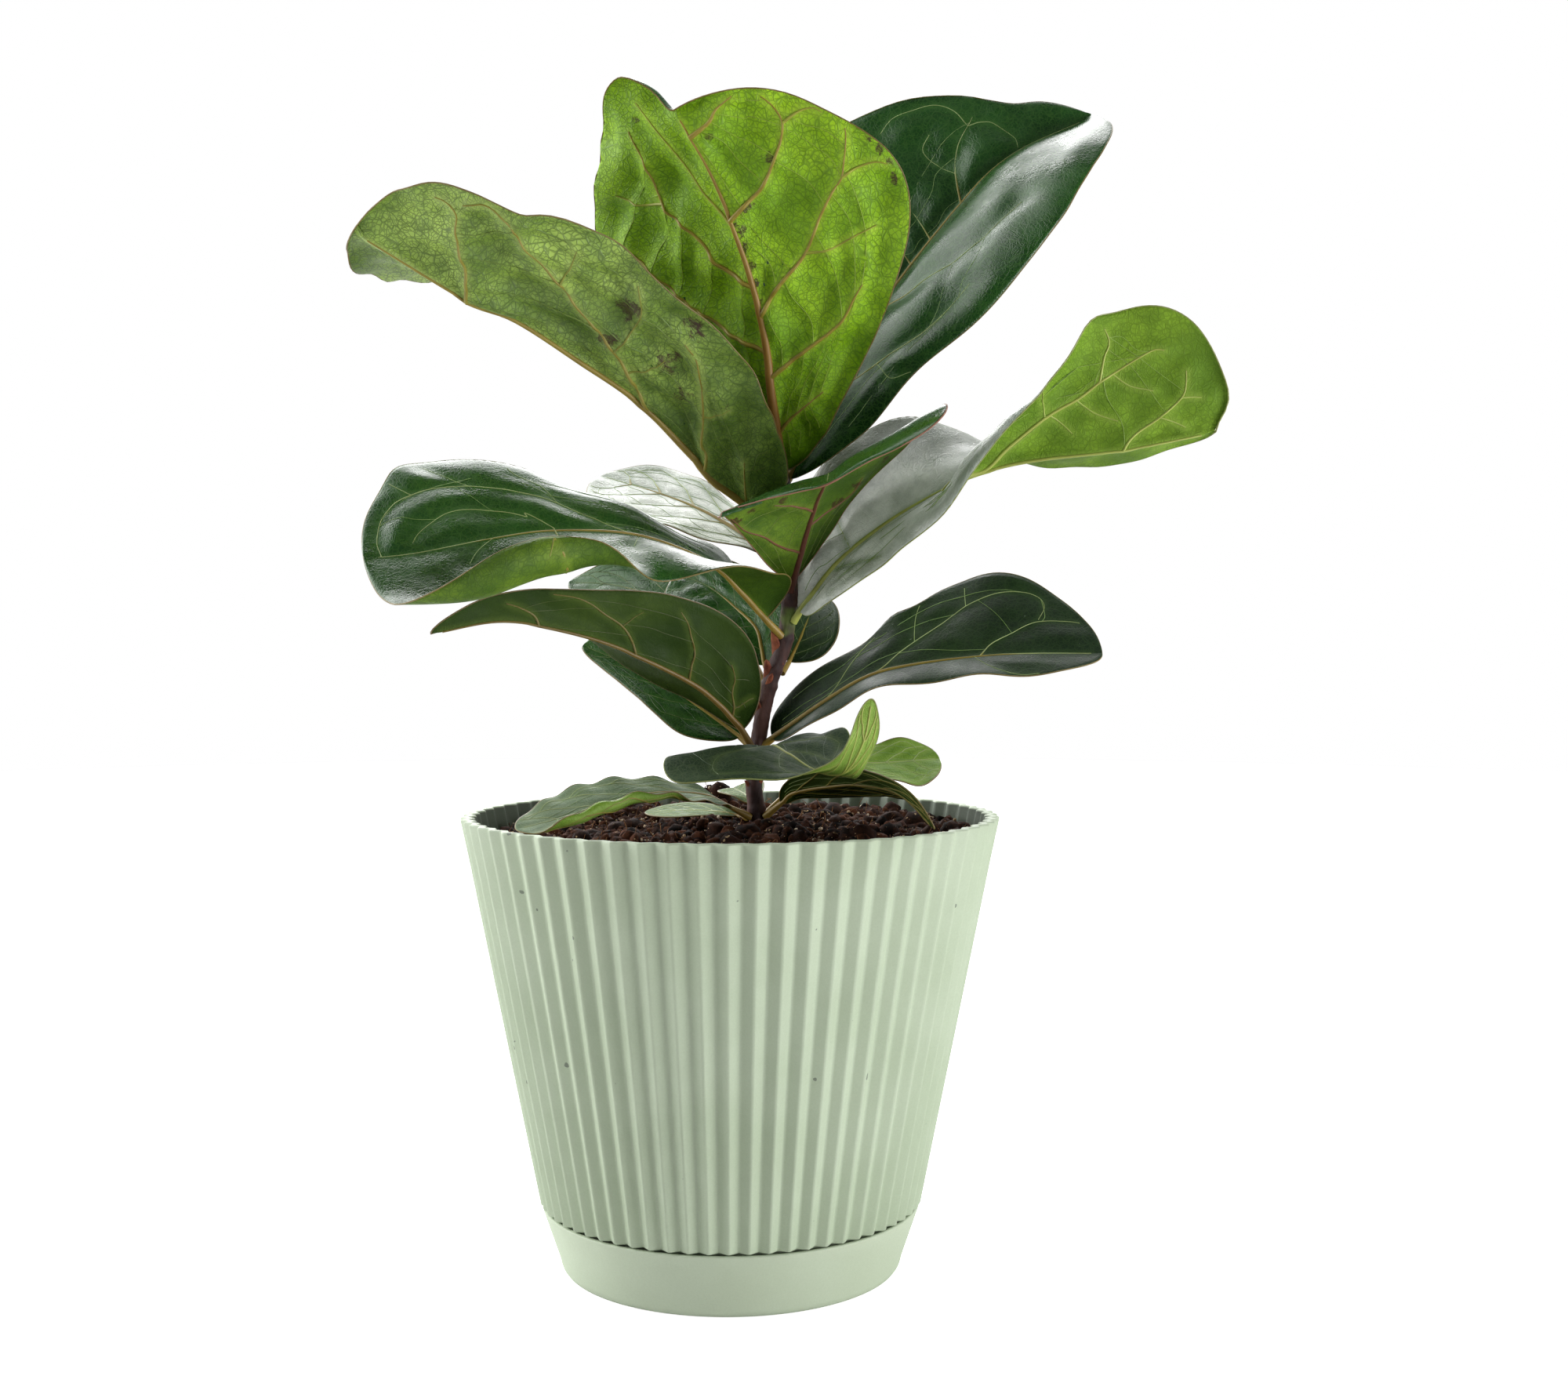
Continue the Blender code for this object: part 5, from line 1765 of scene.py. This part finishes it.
        rib=((21, 6, 214), (25, 12, 222), (29, 20, 231), (33, 28, 238)), face=((0, -0.9, 0.4),),
        left=(8, 10, 11, 10, 9, 6), right=(9, 12, 13, 12, 10, 7), upper=GREY_UPPER, fold_left=(15,),
        fold_right=(15,), rib_radius=0.9, top_veins=SHADED_PALE_VEINS,
    ),
    LeafForm(
        name="front_low", stalk=(9, -4, 178),
        rib=(
            (13, -8, 183), (15, -18, 185), (20, -32, 183), (28, -46, 179), (37, -55, 179), (43, -58, 189),
            (46, -57, 203),
        ),
        face=(
            (0, -0.35, 0.93), (0, -0.35, 0.93), (-0.1, -0.1, 1), (-0.35, 0.5, 0.6), (-0.3, 0.9, 0.2),
            (-0.2, 0.97, 0),
        ),
        left=(14, 18, 22, 14, 7, 6, 5), right=(22, 40, 42, 20, 8, 6, 5), fold_left=(12,), fold_right=(3,),
        curl_right=(0, -10, -20, -20, 0), wave=(1.2, 4.0, 0.1), upper=DULL_UPPER, under=LIME_UNDER,
        veins=YELLOW_VEINS, top_veins=SHADED_PALE_VEINS, rib_radius=0.9, spacing=1.4,
    ),
    LeafForm(
        name="low_right_lime", stalk=(12, 2, 159),
        rib=((20, 5, 167), (28, 6, 172), (42, 10, 176.5), (56, 13, 177), (76, 17, 178)),
        face=((0, -0.6, 0.8),), left=(4, 7, 8, 9, 11, 11), right=(4, 8, 9, 12, 17, 16), fold_left=(12,),
        fold_right=(8,), wave=(1.2, 2.6, 0.2), upper=LIME_UNDER, under=LIME_UNDER, rib_radius=0.8,
        spacing=1.0, swell=0.7,
    ),
    LeafForm(
        name="low_right_arched", stalk=(12, -2, 159),
        rib=(
            (18, -5, 164), (22, -8, 168), (33, -18, 171), (44, -34, 173), (56, -50, 171), (66, -60, 161),
        ),
        face=((0.3, 0.5, 0.8),), left=(4, 12, 16, 16, 12, 6), right=(4, 8, 10, 8, 6, 4), fold_left=(15,),
        fold_right=(15,), rib_radius=0.8, spacing=1.0, swell=0.6, top_veins=SHADED_PALE_VEINS,
    ),
    LeafForm(
        name="low_left", stalk=(6.5, -2, 159),
        rib=(
            (0, -8, 163), (-9, -16, 168), (-25, -28, 170), (-40, -40, 168), (-55, -52, 164),
            (-69, -62, 161),
        ),
        face=((0, -0.2, 0.97),), left=(4, 9, 12, 14, 15, 12), right=(4, 8, 12, 14, 13, 9),
        fold_left=(-6,), fold_right=(14,), curl_left=(0, 0, 90, 220, 240, 220), curl_power=3.5,
        wave=(0.8, 6.0, 0.0), upper=PALE_UPPER, under=LIME_UNDER, rib_radius=0.8, spacing=1.0, swell=0.6,
    ),
    LeafForm(
        name="soil_left", stalk=(6.5, 1, 158),
        rib=((2, 4, 159), (-4, 6, 160), (-15, 11, 160), (-31, 15, 159)), face=((0, -0.2, 0.97),),
        left=(3, 5, 7, 8, 7, 5), right=(3, 5, 7, 8, 7, 5), fold_left=(0,), fold_right=(5,),
        upper=PALE_UPPER, under=LIME_UNDER, rib_radius=0.6, spacing=0.8, swell=0.4,
    ),
    LeafForm(
        name="soil_rear", stalk=(7.5, 3, 161),
        rib=((6.5, 7, 163), (6, 10, 165), (4, 16, 166), (1, 23, 167)), face=((0, -0.5, 0.8),),
        left=(3, 6, 8, 9, 8, 5), right=(3, 6, 8, 9, 8, 5), fold_left=(15,), fold_right=(15,),
        upper=PALE_UPPER, under=LIME_UNDER, rib_radius=0.6, spacing=0.8, swell=0.4,
    ),
)


# Stem


@dataclass(frozen=True)
class StemScale:
    """Papery scale left from a bud: root, direction, length and width in millimetres."""

    root: Point
    out: tuple[float, float]
    length: float
    width: float


@dataclass
class Stem:
    """Thin woody stem with leaf scars and papery scales, in millimetres."""

    growth: Growth
    paint: Paints
    line: tuple[Point, ...] = (
        (9.2, 0, 140), (9.2, 0, 158), (8.2, 0, 171), (9.5, 0, 185), (12, 0, 199), (15, 0, 210),
        (19, 0, 221), (21, 0, 235), (21.5, 0, 240), (20, 0, 254), (19, 0, 268), (18.5, 0, 280),
        (18.4, 0, 286),
    )
    radii: tuple[float, ...] = (3.1, 3.0, 2.8, 2.8, 2.8, 3.0, 3.4, 1.6)
    nodes: tuple[float, ...] = (22.0, 43.0, 66.0, 72.0, 84.0, 97.0, 109.0, 122.0, 138.0)
    scales: tuple[StemScale, ...] = (
        StemScale((13.8, 0.0, 206.0), (-0.3, -0.9), 9.0, 4.2),
        StemScale((14.4, 0.0, 208.0), (0.9, -0.6), 8.0, 4.0),
        StemScale((12.6, 0.0, 200.0), (0.5, -0.9), 10.0, 4.4),
        StemScale((11.0, 0.0, 193.0), (-0.7, -0.7), 9.0, 4.4),
        StemScale((11.4, 0.0, 195.0), (0.95, -0.3), 9.0, 4.0),
        StemScale((17.0, 0.0, 215.0), (-0.6, -0.8), 10.0, 4.6),
        StemScale((8.7, 0.0, 165.0), (-0.9, -0.5), 7.0, 3.8),
        StemScale((8.4, 0.0, 167.0), (0.9, -0.5), 7.0, 3.8),
    )
    sides: int = 28
    ring_step: float = 0.8
    node_height: float = 0.40
    node_spread: float = 1.3
    scale_half: float = 0.12
    scale_grid: tuple[int, int] = (14, 9)
    bark: BarkFinish = BarkFinish("stem_bark")
    papery: EarthFinish = EarthFinish(
        "papery_scale", (96, 46, 36), (150, 88, 62), roughness=0.6, scale=500.0
    )

    def build(self) -> Thing:
        """Build the stem with its scales.

        Returns:
            The finished piece.
        """
        line = Line(self.line)
        rings = int(line.length / self.ring_step)
        marks = np.linspace(0, line.length, rings)
        middle = line.at(marks)
        heading = line.heading(marks, 0.02 * line.length)
        across = unit(np.cross(heading, np.array((0.3, 1.0, 0.1))))
        beside = np.cross(heading, across)
        radius = np.interp(marks / line.length, np.linspace(0, 1, len(self.radii)), self.radii)
        for mark in self.nodes:
            radius = radius + self.node_height * bell(marks - mark, self.node_spread)
        turn, rise = np.meshgrid(ring_angles(self.sides), marks)
        bumps = 0.10 * np.sin(3 * turn + rise / 5.0) + 0.07 * np.sin(5 * turn - rise / 2.3)
        bumps = bumps + 0.05 * np.sin(rise * 2.1)
        spread = np.cos(turn)[..., None] * across[:, None] + np.sin(turn)[..., None] * beside[:, None]
        points = middle[:, None] + (radius[:, None] + bumps)[..., None] * spread
        faces = grid_faces(rings, self.sides, closed=True)
        faces.append(tuple(range(self.sides))[::-1])
        faces.append(tuple((rings - 1) * self.sides + side for side in range(self.sides)))
        stem = mesh_object("woody_stem", points.reshape(-1, 3) * MM, faces, self.paint.get(self.bark))
        return settle(join([stem] + [self.build_scale(scale) for scale in self.scales]), "stem", "stem")

    def build_scale(self, scale: StemScale) -> Thing:
        """Thin cupped scale that tapers to a curled point.

        Args:
            scale: Place and size of the scale.

        Returns:
            The scale as a thin closed shell.
        """
        root = np.array(scale.root, float)
        out = unit(np.array((scale.out[0], scale.out[1], 0.0)))
        side = np.cross(out, (0.0, 0.0, 1.0))
        rows, columns = self.scale_grid
        share = np.linspace(0, 1, rows)[:, None]
        reach = np.linspace(-1, 1, columns)[None, :]
        wide = scale.width / 2 * np.sqrt(np.clip(1 - share**1.6, 0, 1)) + 0.05
        stand = 1.2 + 3.4 * share**1.5 - 0.8 * np.abs(reach) ** 2
        height = scale.length * share - 2.0 * (1 - share) ** 2
        middle = root + stand[..., None] * out + (reach * wide)[..., None] * side
        middle[..., 2] += height
        front, rear = middle + out * self.scale_half, middle - out * self.scale_half
        points = np.vstack([front.reshape(-1, 3), rear.reshape(-1, 3)]) * MM
        total = rows * columns
        faces: Faces = []
        for here, beside, across, ahead in grid_faces(rows, columns):
            faces.append((here, ahead, across, beside))
            faces.append((here + total, beside + total, across + total, ahead + total))
        rim = list(range(columns)) + [row * columns + columns - 1 for row in range(1, rows)]
        rim += [(rows - 1) * columns + column for column in range(columns - 2, -1, -1)]
        rim += [row * columns for row in range(rows - 2, 0, -1)]
        for here, there in zip(rim, rim[1:] + rim[:1]):
            faces.append((here, there, there + total, here + total))
        return mesh_object("scale", points, faces, self.paint.get(self.papery))


# Pot, saucer and soil


@dataclass
class Pot:
    """Pleated pot with a plain foot, in millimetres."""

    growth: Growth
    paint: Paints
    pleats: int = 64
    pleat_depth: float = 2.3
    first_ridge: float = math.radians(-90.0 + 2.1 + 180.0 / 64)
    rim_height: float = 160.0
    rim_radius: float = 95.0
    shoulder_height: float = 23.3
    shoulder_radius: float = 67.9
    wall: float = 3.0
    floor: float = 4.0
    foot_top: float = 64.4
    foot_bottom: float = 57.6
    foot_wall: float = 2.8
    foot_height: float = 3.3
    inner_shoulder: float = 26.5
    steps: int = 12
    finish: PotFinish = PotFinish("pot_sage", scuffs=0.006)

    def radius_at(self, height: float) -> float:
        """Outer radius of the ridges at a height."""
        share = (height - self.shoulder_height) / (self.rim_height - self.shoulder_height)
        return self.shoulder_radius + share * (self.rim_radius - self.shoulder_radius)

    def section(self) -> list[tuple[float, float, float]]:
        """Outline of the wall from the middle underneath to the middle inside.

        Returns:
            Radius of the ridge, height, and share of the pleating at each corner.
        """
        top, lip = self.rim_height, 0.7
        low, under = self.shoulder_height, 0.6
        outer = self.rim_radius
        slope = (self.rim_radius - self.shoulder_radius) / (top - low)
        rows = [(radius, self.foot_height, 0.0) for radius in (0.0, 30.0, self.foot_bottom - 0.6)]
        rows += [(self.foot_bottom, self.foot_height + 0.6, 0.0), (self.foot_top, low, 0.0)]
        rows += [(self.shoulder_radius - under, low, 1.0), (self.shoulder_radius - 0.15, low + 0.15, 1.0)]
        rows += [(self.shoulder_radius + under * slope, low + under, 1.0)]
        for share in (0.15, 0.3, 0.45, 0.6, 0.75, 0.9):
            height = low + share * (top - low)
            rows.append((self.radius_at(height), height, 1.0))
        for angle in (0, 30, 60, 90):
            turn = math.radians(angle)
            rows.append((outer - lip + lip * math.cos(turn), top - lip + lip * math.sin(turn), 1.0))
        inner = outer - self.wall
        for angle in (90, 60, 30, 0):
            turn = math.radians(angle)
            rows.append((inner + lip - lip * math.cos(turn), top - lip + lip * math.sin(turn), 1.0))
        for share in (0.9, 0.6, 0.3):
            height = low + share * (top - low)
            rows.append((self.radius_at(height) - self.wall, height, 1.0))
        rows.append((self.radius_at(self.inner_shoulder) - self.wall, self.inner_shoulder, 1.0))
        rows.append((self.foot_top - self.foot_wall, low, 0.0))
        rows.append((self.foot_bottom - self.foot_wall, self.foot_height + self.floor, 0.0))
        rows.append((0.0, self.foot_height + self.floor, 0.0))
        return rows

    def pleat(self, turn: Array) -> Array:
        """Depth below the ridge across one pleat, softly rounded at ridge and valley.

        Args:
            turn: Places across the pleat, from 0 at one ridge to 1 at the next.

        Returns:
            Depths in millimetres.
        """
        away = 1 - np.abs(2 * turn - 1)
        soft = 0.05
        rounded = np.sqrt(away**2 + soft**2) - soft
        far = np.sqrt((1 - away) ** 2 + (0.7 * soft) ** 2) - 0.7 * soft
        return self.pleat_depth * np.clip(0.5 + 0.5 * (rounded - far) / (1 - soft * 0.4), 0.0, 1.02)

    def build(self) -> Thing:
        """Build one pleat of the wall and repeat it round the pot.

        Returns:
            The finished piece.
        """
        rows = self.section()
        turn = np.linspace(0, 1, self.steps + 1)
        depth = self.pleat(turn)
        angle = self.first_ridge + turn * 2 * math.pi / self.pleats
        points = []
        for radius, height, share in rows:
            reach = radius - share * depth
            flat = [reach * np.cos(angle), reach * np.sin(angle)]
            points.append(np.stack(flat + [np.full(len(turn), height)], -1))
        wide = self.steps + 1
        faces = grid_faces(len(rows), wide, pointed=True)
        strip = mesh_object("pleated_pot", np.vstack(points) * MM, faces)
        # Painted shade: the rows inside the pot, below the lip, are marked for the darker colour of the
        # inside.
        crest = max(range(len(rows)), key=lambda number: rows[number][1])
        inner = np.arange(len(rows)) > crest + 3
        keep_number(strip, "inner", np.repeat(inner.astype(float), wide))
        pot = self.growth.turn_round(strip, self.pleats, self.paint.get(self.finish))
        return settle(pot, "pot", "pot")


@dataclass
class Saucer:
    """Smooth flaring saucer that hugs the pot's foot, in millimetres."""

    growth: Growth
    paint: Paints
    height: float = 22.7
    floor: float = 3.0
    bottom: float = 59.3
    lip_radius: float = 67.2
    lip: float = 1.8
    inner_bottom: float = 58.6
    foot_bulge: float = 1.75
    foot_height: float = 3.9
    parts: int = 144
    # Painted light: the saucer's copy of the pot's plastic is a little lighter, standing in for the
    # brighter light on the saucer.
    finish: PotFinish = PotFinish("saucer_sage", (196, 208, 185), (190, 202, 178), scuffs=0.004)

    def build(self) -> Thing:
        """Build one narrow strip of the saucer and repeat it round the axis.

        Returns:
            The finished piece.
        """
        rows = [(0.0, 0.0), (30.0, 0.0), (self.bottom - 0.7, 0.0), (self.bottom + 0.3, 0.25)]
        rows += [(self.bottom + 1.0, 1.2), (self.bottom + 1.45, 2.4)]
        rows += [(self.bottom + self.foot_bulge, self.foot_height)]
        for share in (0.25, 0.5, 0.75):
            radius = self.bottom + self.foot_bulge
            radius = radius + share * (self.lip_radius - self.bottom - self.foot_bulge)
            rows.append((radius, self.foot_height + share * (self.height - 4.6)))
        rows += [(self.lip_radius, self.height - 0.7), (self.lip_radius - 0.08, self.height - 0.3)]
        rows += [(self.lip_radius - 0.35, self.height - 0.05), (self.lip_radius - 0.7, self.height)]
        inner = self.lip_radius - self.lip
        rows += [(inner + 0.5, self.height), (inner + 0.1, self.height - 0.25)]
        rows += [(inner - 0.1, self.height - 0.9)]
        rows += [(radius, self.floor) for radius in (self.inner_bottom, 30.0, 0.0)]
        step = 2 * math.pi / self.parts
        points = []
        for radius, height in rows:
            for angle in (0.0, step):
                points.append((radius * math.cos(angle), radius * math.sin(angle), height))
        strip = mesh_object("saucer_dish", np.array(points) * MM, grid_faces(len(rows), 2, pointed=True))
        saucer = self.growth.turn_round(strip, self.parts, self.paint.get(self.finish))
        return settle(saucer, "saucer", "saucer")


@dataclass(frozen=True)
class Grains:
    """Grains of one kind on the soil; sizes in millimetres, density in grains on a square metre."""

    name: str
    density: float
    small: float
    large: float
    flatness: float
    lumps: float
    sink: float
    detail: int
    seed: int
    finish: EarthFinish

    def values(self) -> dict[str, Any]:
        """Inputs of the scatter tree."""
        return {
            "Density": self.density, "Small": self.small * MM, "Large": self.large * MM,
            "Flatness": self.flatness, "Lumps": self.lumps * MM, "Sink": self.sink * MM,
            "Detail": self.detail, "Seed": self.seed,
        }


@dataclass
class Soil:
    """Loose potting soil with crumbs, pale grit and fibres, in millimetres."""

    growth: Growth
    paint: Paints
    pot: Pot
    level: float = 151.0
    tilt: tuple[float, float] = (0.012, 0.030)
    stem: tuple[float, float] = (9.2, 0.0)
    mound: float = 4.5
    mound_spread: float = 22.0
    heaps: tuple[tuple[float, float, float, float], ...] = (
        (-8.0, 31.0, 13.0, 6.0), (-48.0, 58.0, 4.0, 14.0), (-8.0, -8.0, 5.0, 4.0), (40.0, -40.0, 3.0, 9.0),
        (-38.0, -30.0, 2.5, 8.0),
    )
    depth: float = 26.0
    gap: float = 0.25
    rings: int = 64
    parts: int = 128
    grains: tuple[Grains, ...] = (
        Grains(
            "soil_crumbs", 0.22e6, 0.5, 3.8, 0.85, 2.6, -0.3, 1, 3,
            EarthFinish("soil_crumb", (12, 7, 6), (70, 41, 28), roughness=0.95, scale=600.0, specks=0.06),
        ),
        Grains(
            "soil_bark_bits", 0.045e6, 1.4, 4.6, 0.5, 2.0, -0.6, 2, 11,
            EarthFinish("bark_bit", (14, 9, 7), (88, 52, 33), roughness=0.95, scale=500.0, specks=0.05),
        ),
        Grains(
            "soil_clods", 0.010e6, 2.0, 6.5, 0.75, 4.0, -0.3, 2, 21,
            EarthFinish("soil_clod", (10, 6, 5), (56, 33, 23), roughness=0.95, scale=500.0, specks=0.06),
        ),
        Grains(
            "soil_grit", 0.05e6, 0.35, 1.1, 0.8, 0.4, -1.6, 1, 5,
            EarthFinish("pale_grit", (170, 136, 98), (236, 222, 200), scale=900.0),
        ),
    )

    def height(self, x: Array, y: Array) -> Array:
        """Height of the soil at places."""
        level = self.level + self.tilt[0] * x + self.tilt[1] * y
        from_stem = np.hypot(x - self.stem[0], y - self.stem[1])
        level = level + self.mound * np.exp(-0.5 * (from_stem / self.mound_spread) ** 2)
        for middle_x, middle_y, height, spread in self.heaps:
            level = level + height * np.exp(-0.5 * ((x - middle_x) ** 2 + (y - middle_y) ** 2) / spread**2)
        lumps = np.sin(0.31 * x + 1.3) * np.sin(0.27 * y + 0.4) + 0.6 * np.sin(0.59 * (x + 0.7 * y))
        small = np.sin(1.1 * x + 2.0 * np.sin(0.5 * y)) * np.sin(1.3 * y + 1.1)
        small = small + 0.7 * np.sin(2.3 * x + 0.4) * np.sin(2.1 * y)
        return level + 0.8 * lumps + 0.45 * small

    def build(self) -> list[Thing]:
        """Build the soil and what lies on it.

        Returns:
            The finished pieces.
        """
        earth = EarthFinish("soil_peat", (8, 5, 4), (30, 19, 14), roughness=0.95)
        soil = settle(self.build_body(self.paint.get(earth)), "soil", "soil")
        top = self.build_top()
        bits = [self.strew(top, grain) for grain in self.grains]
        fibres = self.clone("soil_fibres", top)
        finish = EarthFinish("soil_fibre", (96, 60, 38), (168, 124, 84), scale=900.0)
        values = {
            "Density": 0.03e6, "Length": 7.0 * MM, "Radius": 0.12 * MM, "Bend": 2.0 * MM,
            "Lean": 1.5, "Seed": 9, "Material": self.paint.get(finish),
        }
        bits.append(self.growth.grow(fibres, self.growth.fibre, values))
        bpy.data.objects.remove(top)
        return [soil] + [settle(bit, "soil") for bit in bits]

    def edge(self, angle: Array, height: float) -> Array:
        """Radius of the soil's edge along the pleated wall."""
        turn = ((angle - self.pot.first_ridge) * self.pot.pleats / (2 * math.pi)) % 1.0
        return self.pot.radius_at(height) - self.pot.wall - self.gap - self.pot.pleat(turn)

    def surface_grid(self) -> Array:
        """Rings of points over the soil's surface, from its edge to the stem."""
        angles = ring_angles(self.parts)
        edge = self.edge(angles, self.level)
        rings = []
        for share in np.linspace(1, 0.012, self.rings):
            x = edge * share * np.cos(angles) + self.stem[0] * (1 - share)
            y = edge * share * np.sin(angles) + self.stem[1] * (1 - share)
            rings.append(np.stack([x, y, self.height(x, y)], -1))
        return np.array(rings)

    def build_body(self, material: Material) -> Thing:
        """Closed body of the soil down to a little below its surface."""
        grid = self.surface_grid()
        angles = ring_angles(self.parts)
        low = self.level - self.depth
        edge = self.edge(angles, low)
        bottom = np.stack([edge * np.cos(angles), edge * np.sin(angles), np.full(self.parts, low)], -1)
        points = np.vstack([bottom, grid.reshape(-1, 3)])
        faces = grid_faces(self.rings + 1, self.parts, closed=True)
        faces.append(tuple(range(self.parts))[::-1])
        faces.append(tuple(self.rings * self.parts + part for part in range(self.parts)))
        return mesh_object("potting_soil", points * MM, faces, material)

    def build_top(self) -> Thing:
        """Open surface on which the loose bits are strewn."""
        grid = self.surface_grid()[2:-3]
        faces = grid_faces(len(grid), self.parts, closed=True)
        return mesh_object("soil_top", grid.reshape(-1, 3) * MM, faces)

    @staticmethod
    def clone(name: str, source: Thing) -> Thing:
        """Copy of the surface to grow something on."""
        item = bpy.data.objects.new(name, source.data.copy())
        bpy.context.scene.collection.objects.link(item)
        return item

    def strew(self, top: Thing, grains: Grains) -> Thing:
        """Strew grains of one kind over the surface."""
        values = {**grains.values(), "Material": self.paint.get(grains.finish)}
        return self.growth.grow(self.clone(grains.name, top), self.growth.scatter, values)


# Studio


@dataclass
class Studio:
    """Pale floor, soft light and the camera."""

    view: View = VIEW
    floor_radius: float = 2.5
    floor_level: float = -0.2 * MM

    def build(self) -> None:
        """Set up the floor, the light and the camera."""
        self.build_floor()
        self.build_world()
        self.add_softbox("left_softbox", (-1.15, 0.05, 0.55), (0.0, 0.0, 0.2), 0.8, 12.0)
        self.add_softbox("right_softbox", (1.15, -0.60, 0.25), (0.0, 0.0, 0.15), 0.7, 14.5)
        self.add_softbox("rear_softbox", (-0.25, 1.0, 1.0), (0.0, 0.0, 0.25), 1.1, 12.0)
        self.build_camera()
        bpy.context.scene.view_settings.view_transform = "Standard"

    def build_floor(self) -> None:
        """Plain pale floor."""
        material, tree, shader = new_material("pale_floor")
        place = tree.place()
        cloud = tree.ramp(tree.noise(place, 3.0, 2.0), 0.3, 0.7)
        colour = tree.blend(cloud, (0.88, 0.88, 0.88, 1.0), (0.9, 0.9, 0.9, 1.0))
        tree.colour(shader, colour)
        shader.inputs["Roughness"].default_value = 0.9
        shader.inputs["Emission Color"].default_value = (1.0, 1.0, 1.0, 1.0)
        seen = tree.add("ShaderNodeLightPath").outputs["Is Camera Ray"]
        tree.feed(shader.inputs["Emission Strength"], tree.times(seen, 0.8))
        count = 96
        points = [(0.0, 0.0, self.floor_level)]
        for part in range(count):
            angle = 2 * math.pi * part / count
            x, y = self.floor_radius * math.cos(angle), self.floor_radius * math.sin(angle)
            points.append((x, y, self.floor_level))
        faces = [(0, 1 + part, 1 + (part + 1) % count) for part in range(count)]
        mesh_object("floor", points, faces, material)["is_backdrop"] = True

    @staticmethod
    def build_world() -> None:
        """White surroundings, darker in front of the plant."""
        world = bpy.data.worlds.new("studio")
        bpy.context.scene.world = world
        world.use_nodes = True
        tree = Tree(world.node_tree)
        background = world.node_tree.nodes["Background"]
        direction = tree.add("ShaderNodeTexCoord").outputs["Generated"]
        parts = tree.add("ShaderNodeSeparateXYZ", {0: direction})
        depth = tree.ramp(parts.outputs["Y"], -0.3, 0.7, 0.15, 0.85)
        height = tree.ramp(parts.outputs["Z"], 0.5, 1.0, 0.0, 0.3)
        light = tree.math("MAXIMUM", depth, height)
        rear = tree.ramp(parts.outputs["Y"], 0.22, 0.55)
        over = tree.ramp(parts.outputs["Z"], 0.80, 0.94, 1.0, 0.0)
        lifted = tree.times(tree.ramp(parts.outputs["Z"], 0.05, 0.35), over)
        across = tree.ramp(parts.outputs["X"], 0.05, 0.3, 4.5, 1.5)
        behind = tree.times(tree.times(rear, lifted), across)
        aside = tree.ramp(parts.outputs["X"], -0.45, -0.25, 1.0, 0.0)
        upper_left = tree.times(aside, tree.ramp(parts.outputs["Z"], 0.35, 0.6, 0.0, 3.6))
        gleam = tree.math("MAXIMUM", behind, upper_left)
        rays = tree.add("ShaderNodeLightPath")
        shine = tree.plus(tree.times(light, 0.4), gleam)
        extra = tree.times(rays.outputs["Is Glossy Ray"], tree.math("SUBTRACT", shine, light))
        level = tree.plus(extra, light)
        spread = tree.add("ShaderNodeCombineXYZ", {"X": level, "Y": level, "Z": level})
        colour = tree.blend(rays.outputs["Is Camera Ray"], spread, (1.0, 1.0, 1.0, 1.0))
        tree.feed(background.inputs["Color"], colour)
        background.inputs["Strength"].default_value = 1.0

    @staticmethod
    def add_softbox(name: str, place: Point, target: Point, size: float, power: float) -> None:
        """Hang a square soft light.

        Args:
            name: Name of the light.
            place: Its place in metres.
            target: Point that it shines at.
            size: Length of its sides.
            power: Its power in watts.
        """
        data = bpy.data.lights.new(name, "AREA")
        data.size = size
        data.energy = power
        light = bpy.data.objects.new(name, data)
        light.location = place
        light.rotation_euler = (Vector(target) - Vector(place)).to_track_quat("-Z", "Y").to_euler()
        bpy.context.scene.collection.objects.link(light)

    def build_camera(self) -> None:
        """Camera at the height and angle of the photograph."""
        data = bpy.data.cameras.new("camera")
        data.sensor_width = self.view.sensor
        data.sensor_fit = "HORIZONTAL"
        data.lens = self.view.lens
        camera = bpy.data.objects.new("camera", data)
        camera.location = self.view.place
        camera.rotation_euler = (math.radians(90.0 - self.view.pitch), 0.0, math.radians(-self.view.yaw))
        bpy.context.scene.collection.objects.link(camera)
        bpy.context.scene.camera = camera


def corners(box: tuple[Vector, Vector]) -> list[list[float]]:
    """Corners of a box as plain lists."""
    return [[float(value) for value in corner] for corner in box]


def main() -> None:
    """Build the plant from the ground up and report each piece."""
    logging.basicConfig(level=logging.INFO, format="%(message)s")
    cad_box = corners(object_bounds())
    growth = Growth()
    paint = Paints(Effects())
    pot = Pot(growth, paint)
    pieces = [Saucer(growth, paint).build(), pot.build()]
    pieces += Soil(growth, paint, pot).build()
    pieces.append(Stem(growth, paint).build())
    for seed, form in enumerate(LEAVES, FIRST_SEED):
        pieces.append(Leaf(form, seed, growth, paint).build())
    for piece in pieces:
        LOG.info("%s: %d triangles", piece.name, sum(face.loop_total - 2 for face in piece.data.polygons))
    Studio().build()
    {"cad": cad_box, "visual": corners(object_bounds())}


if __name__ == "__main__":
    main()
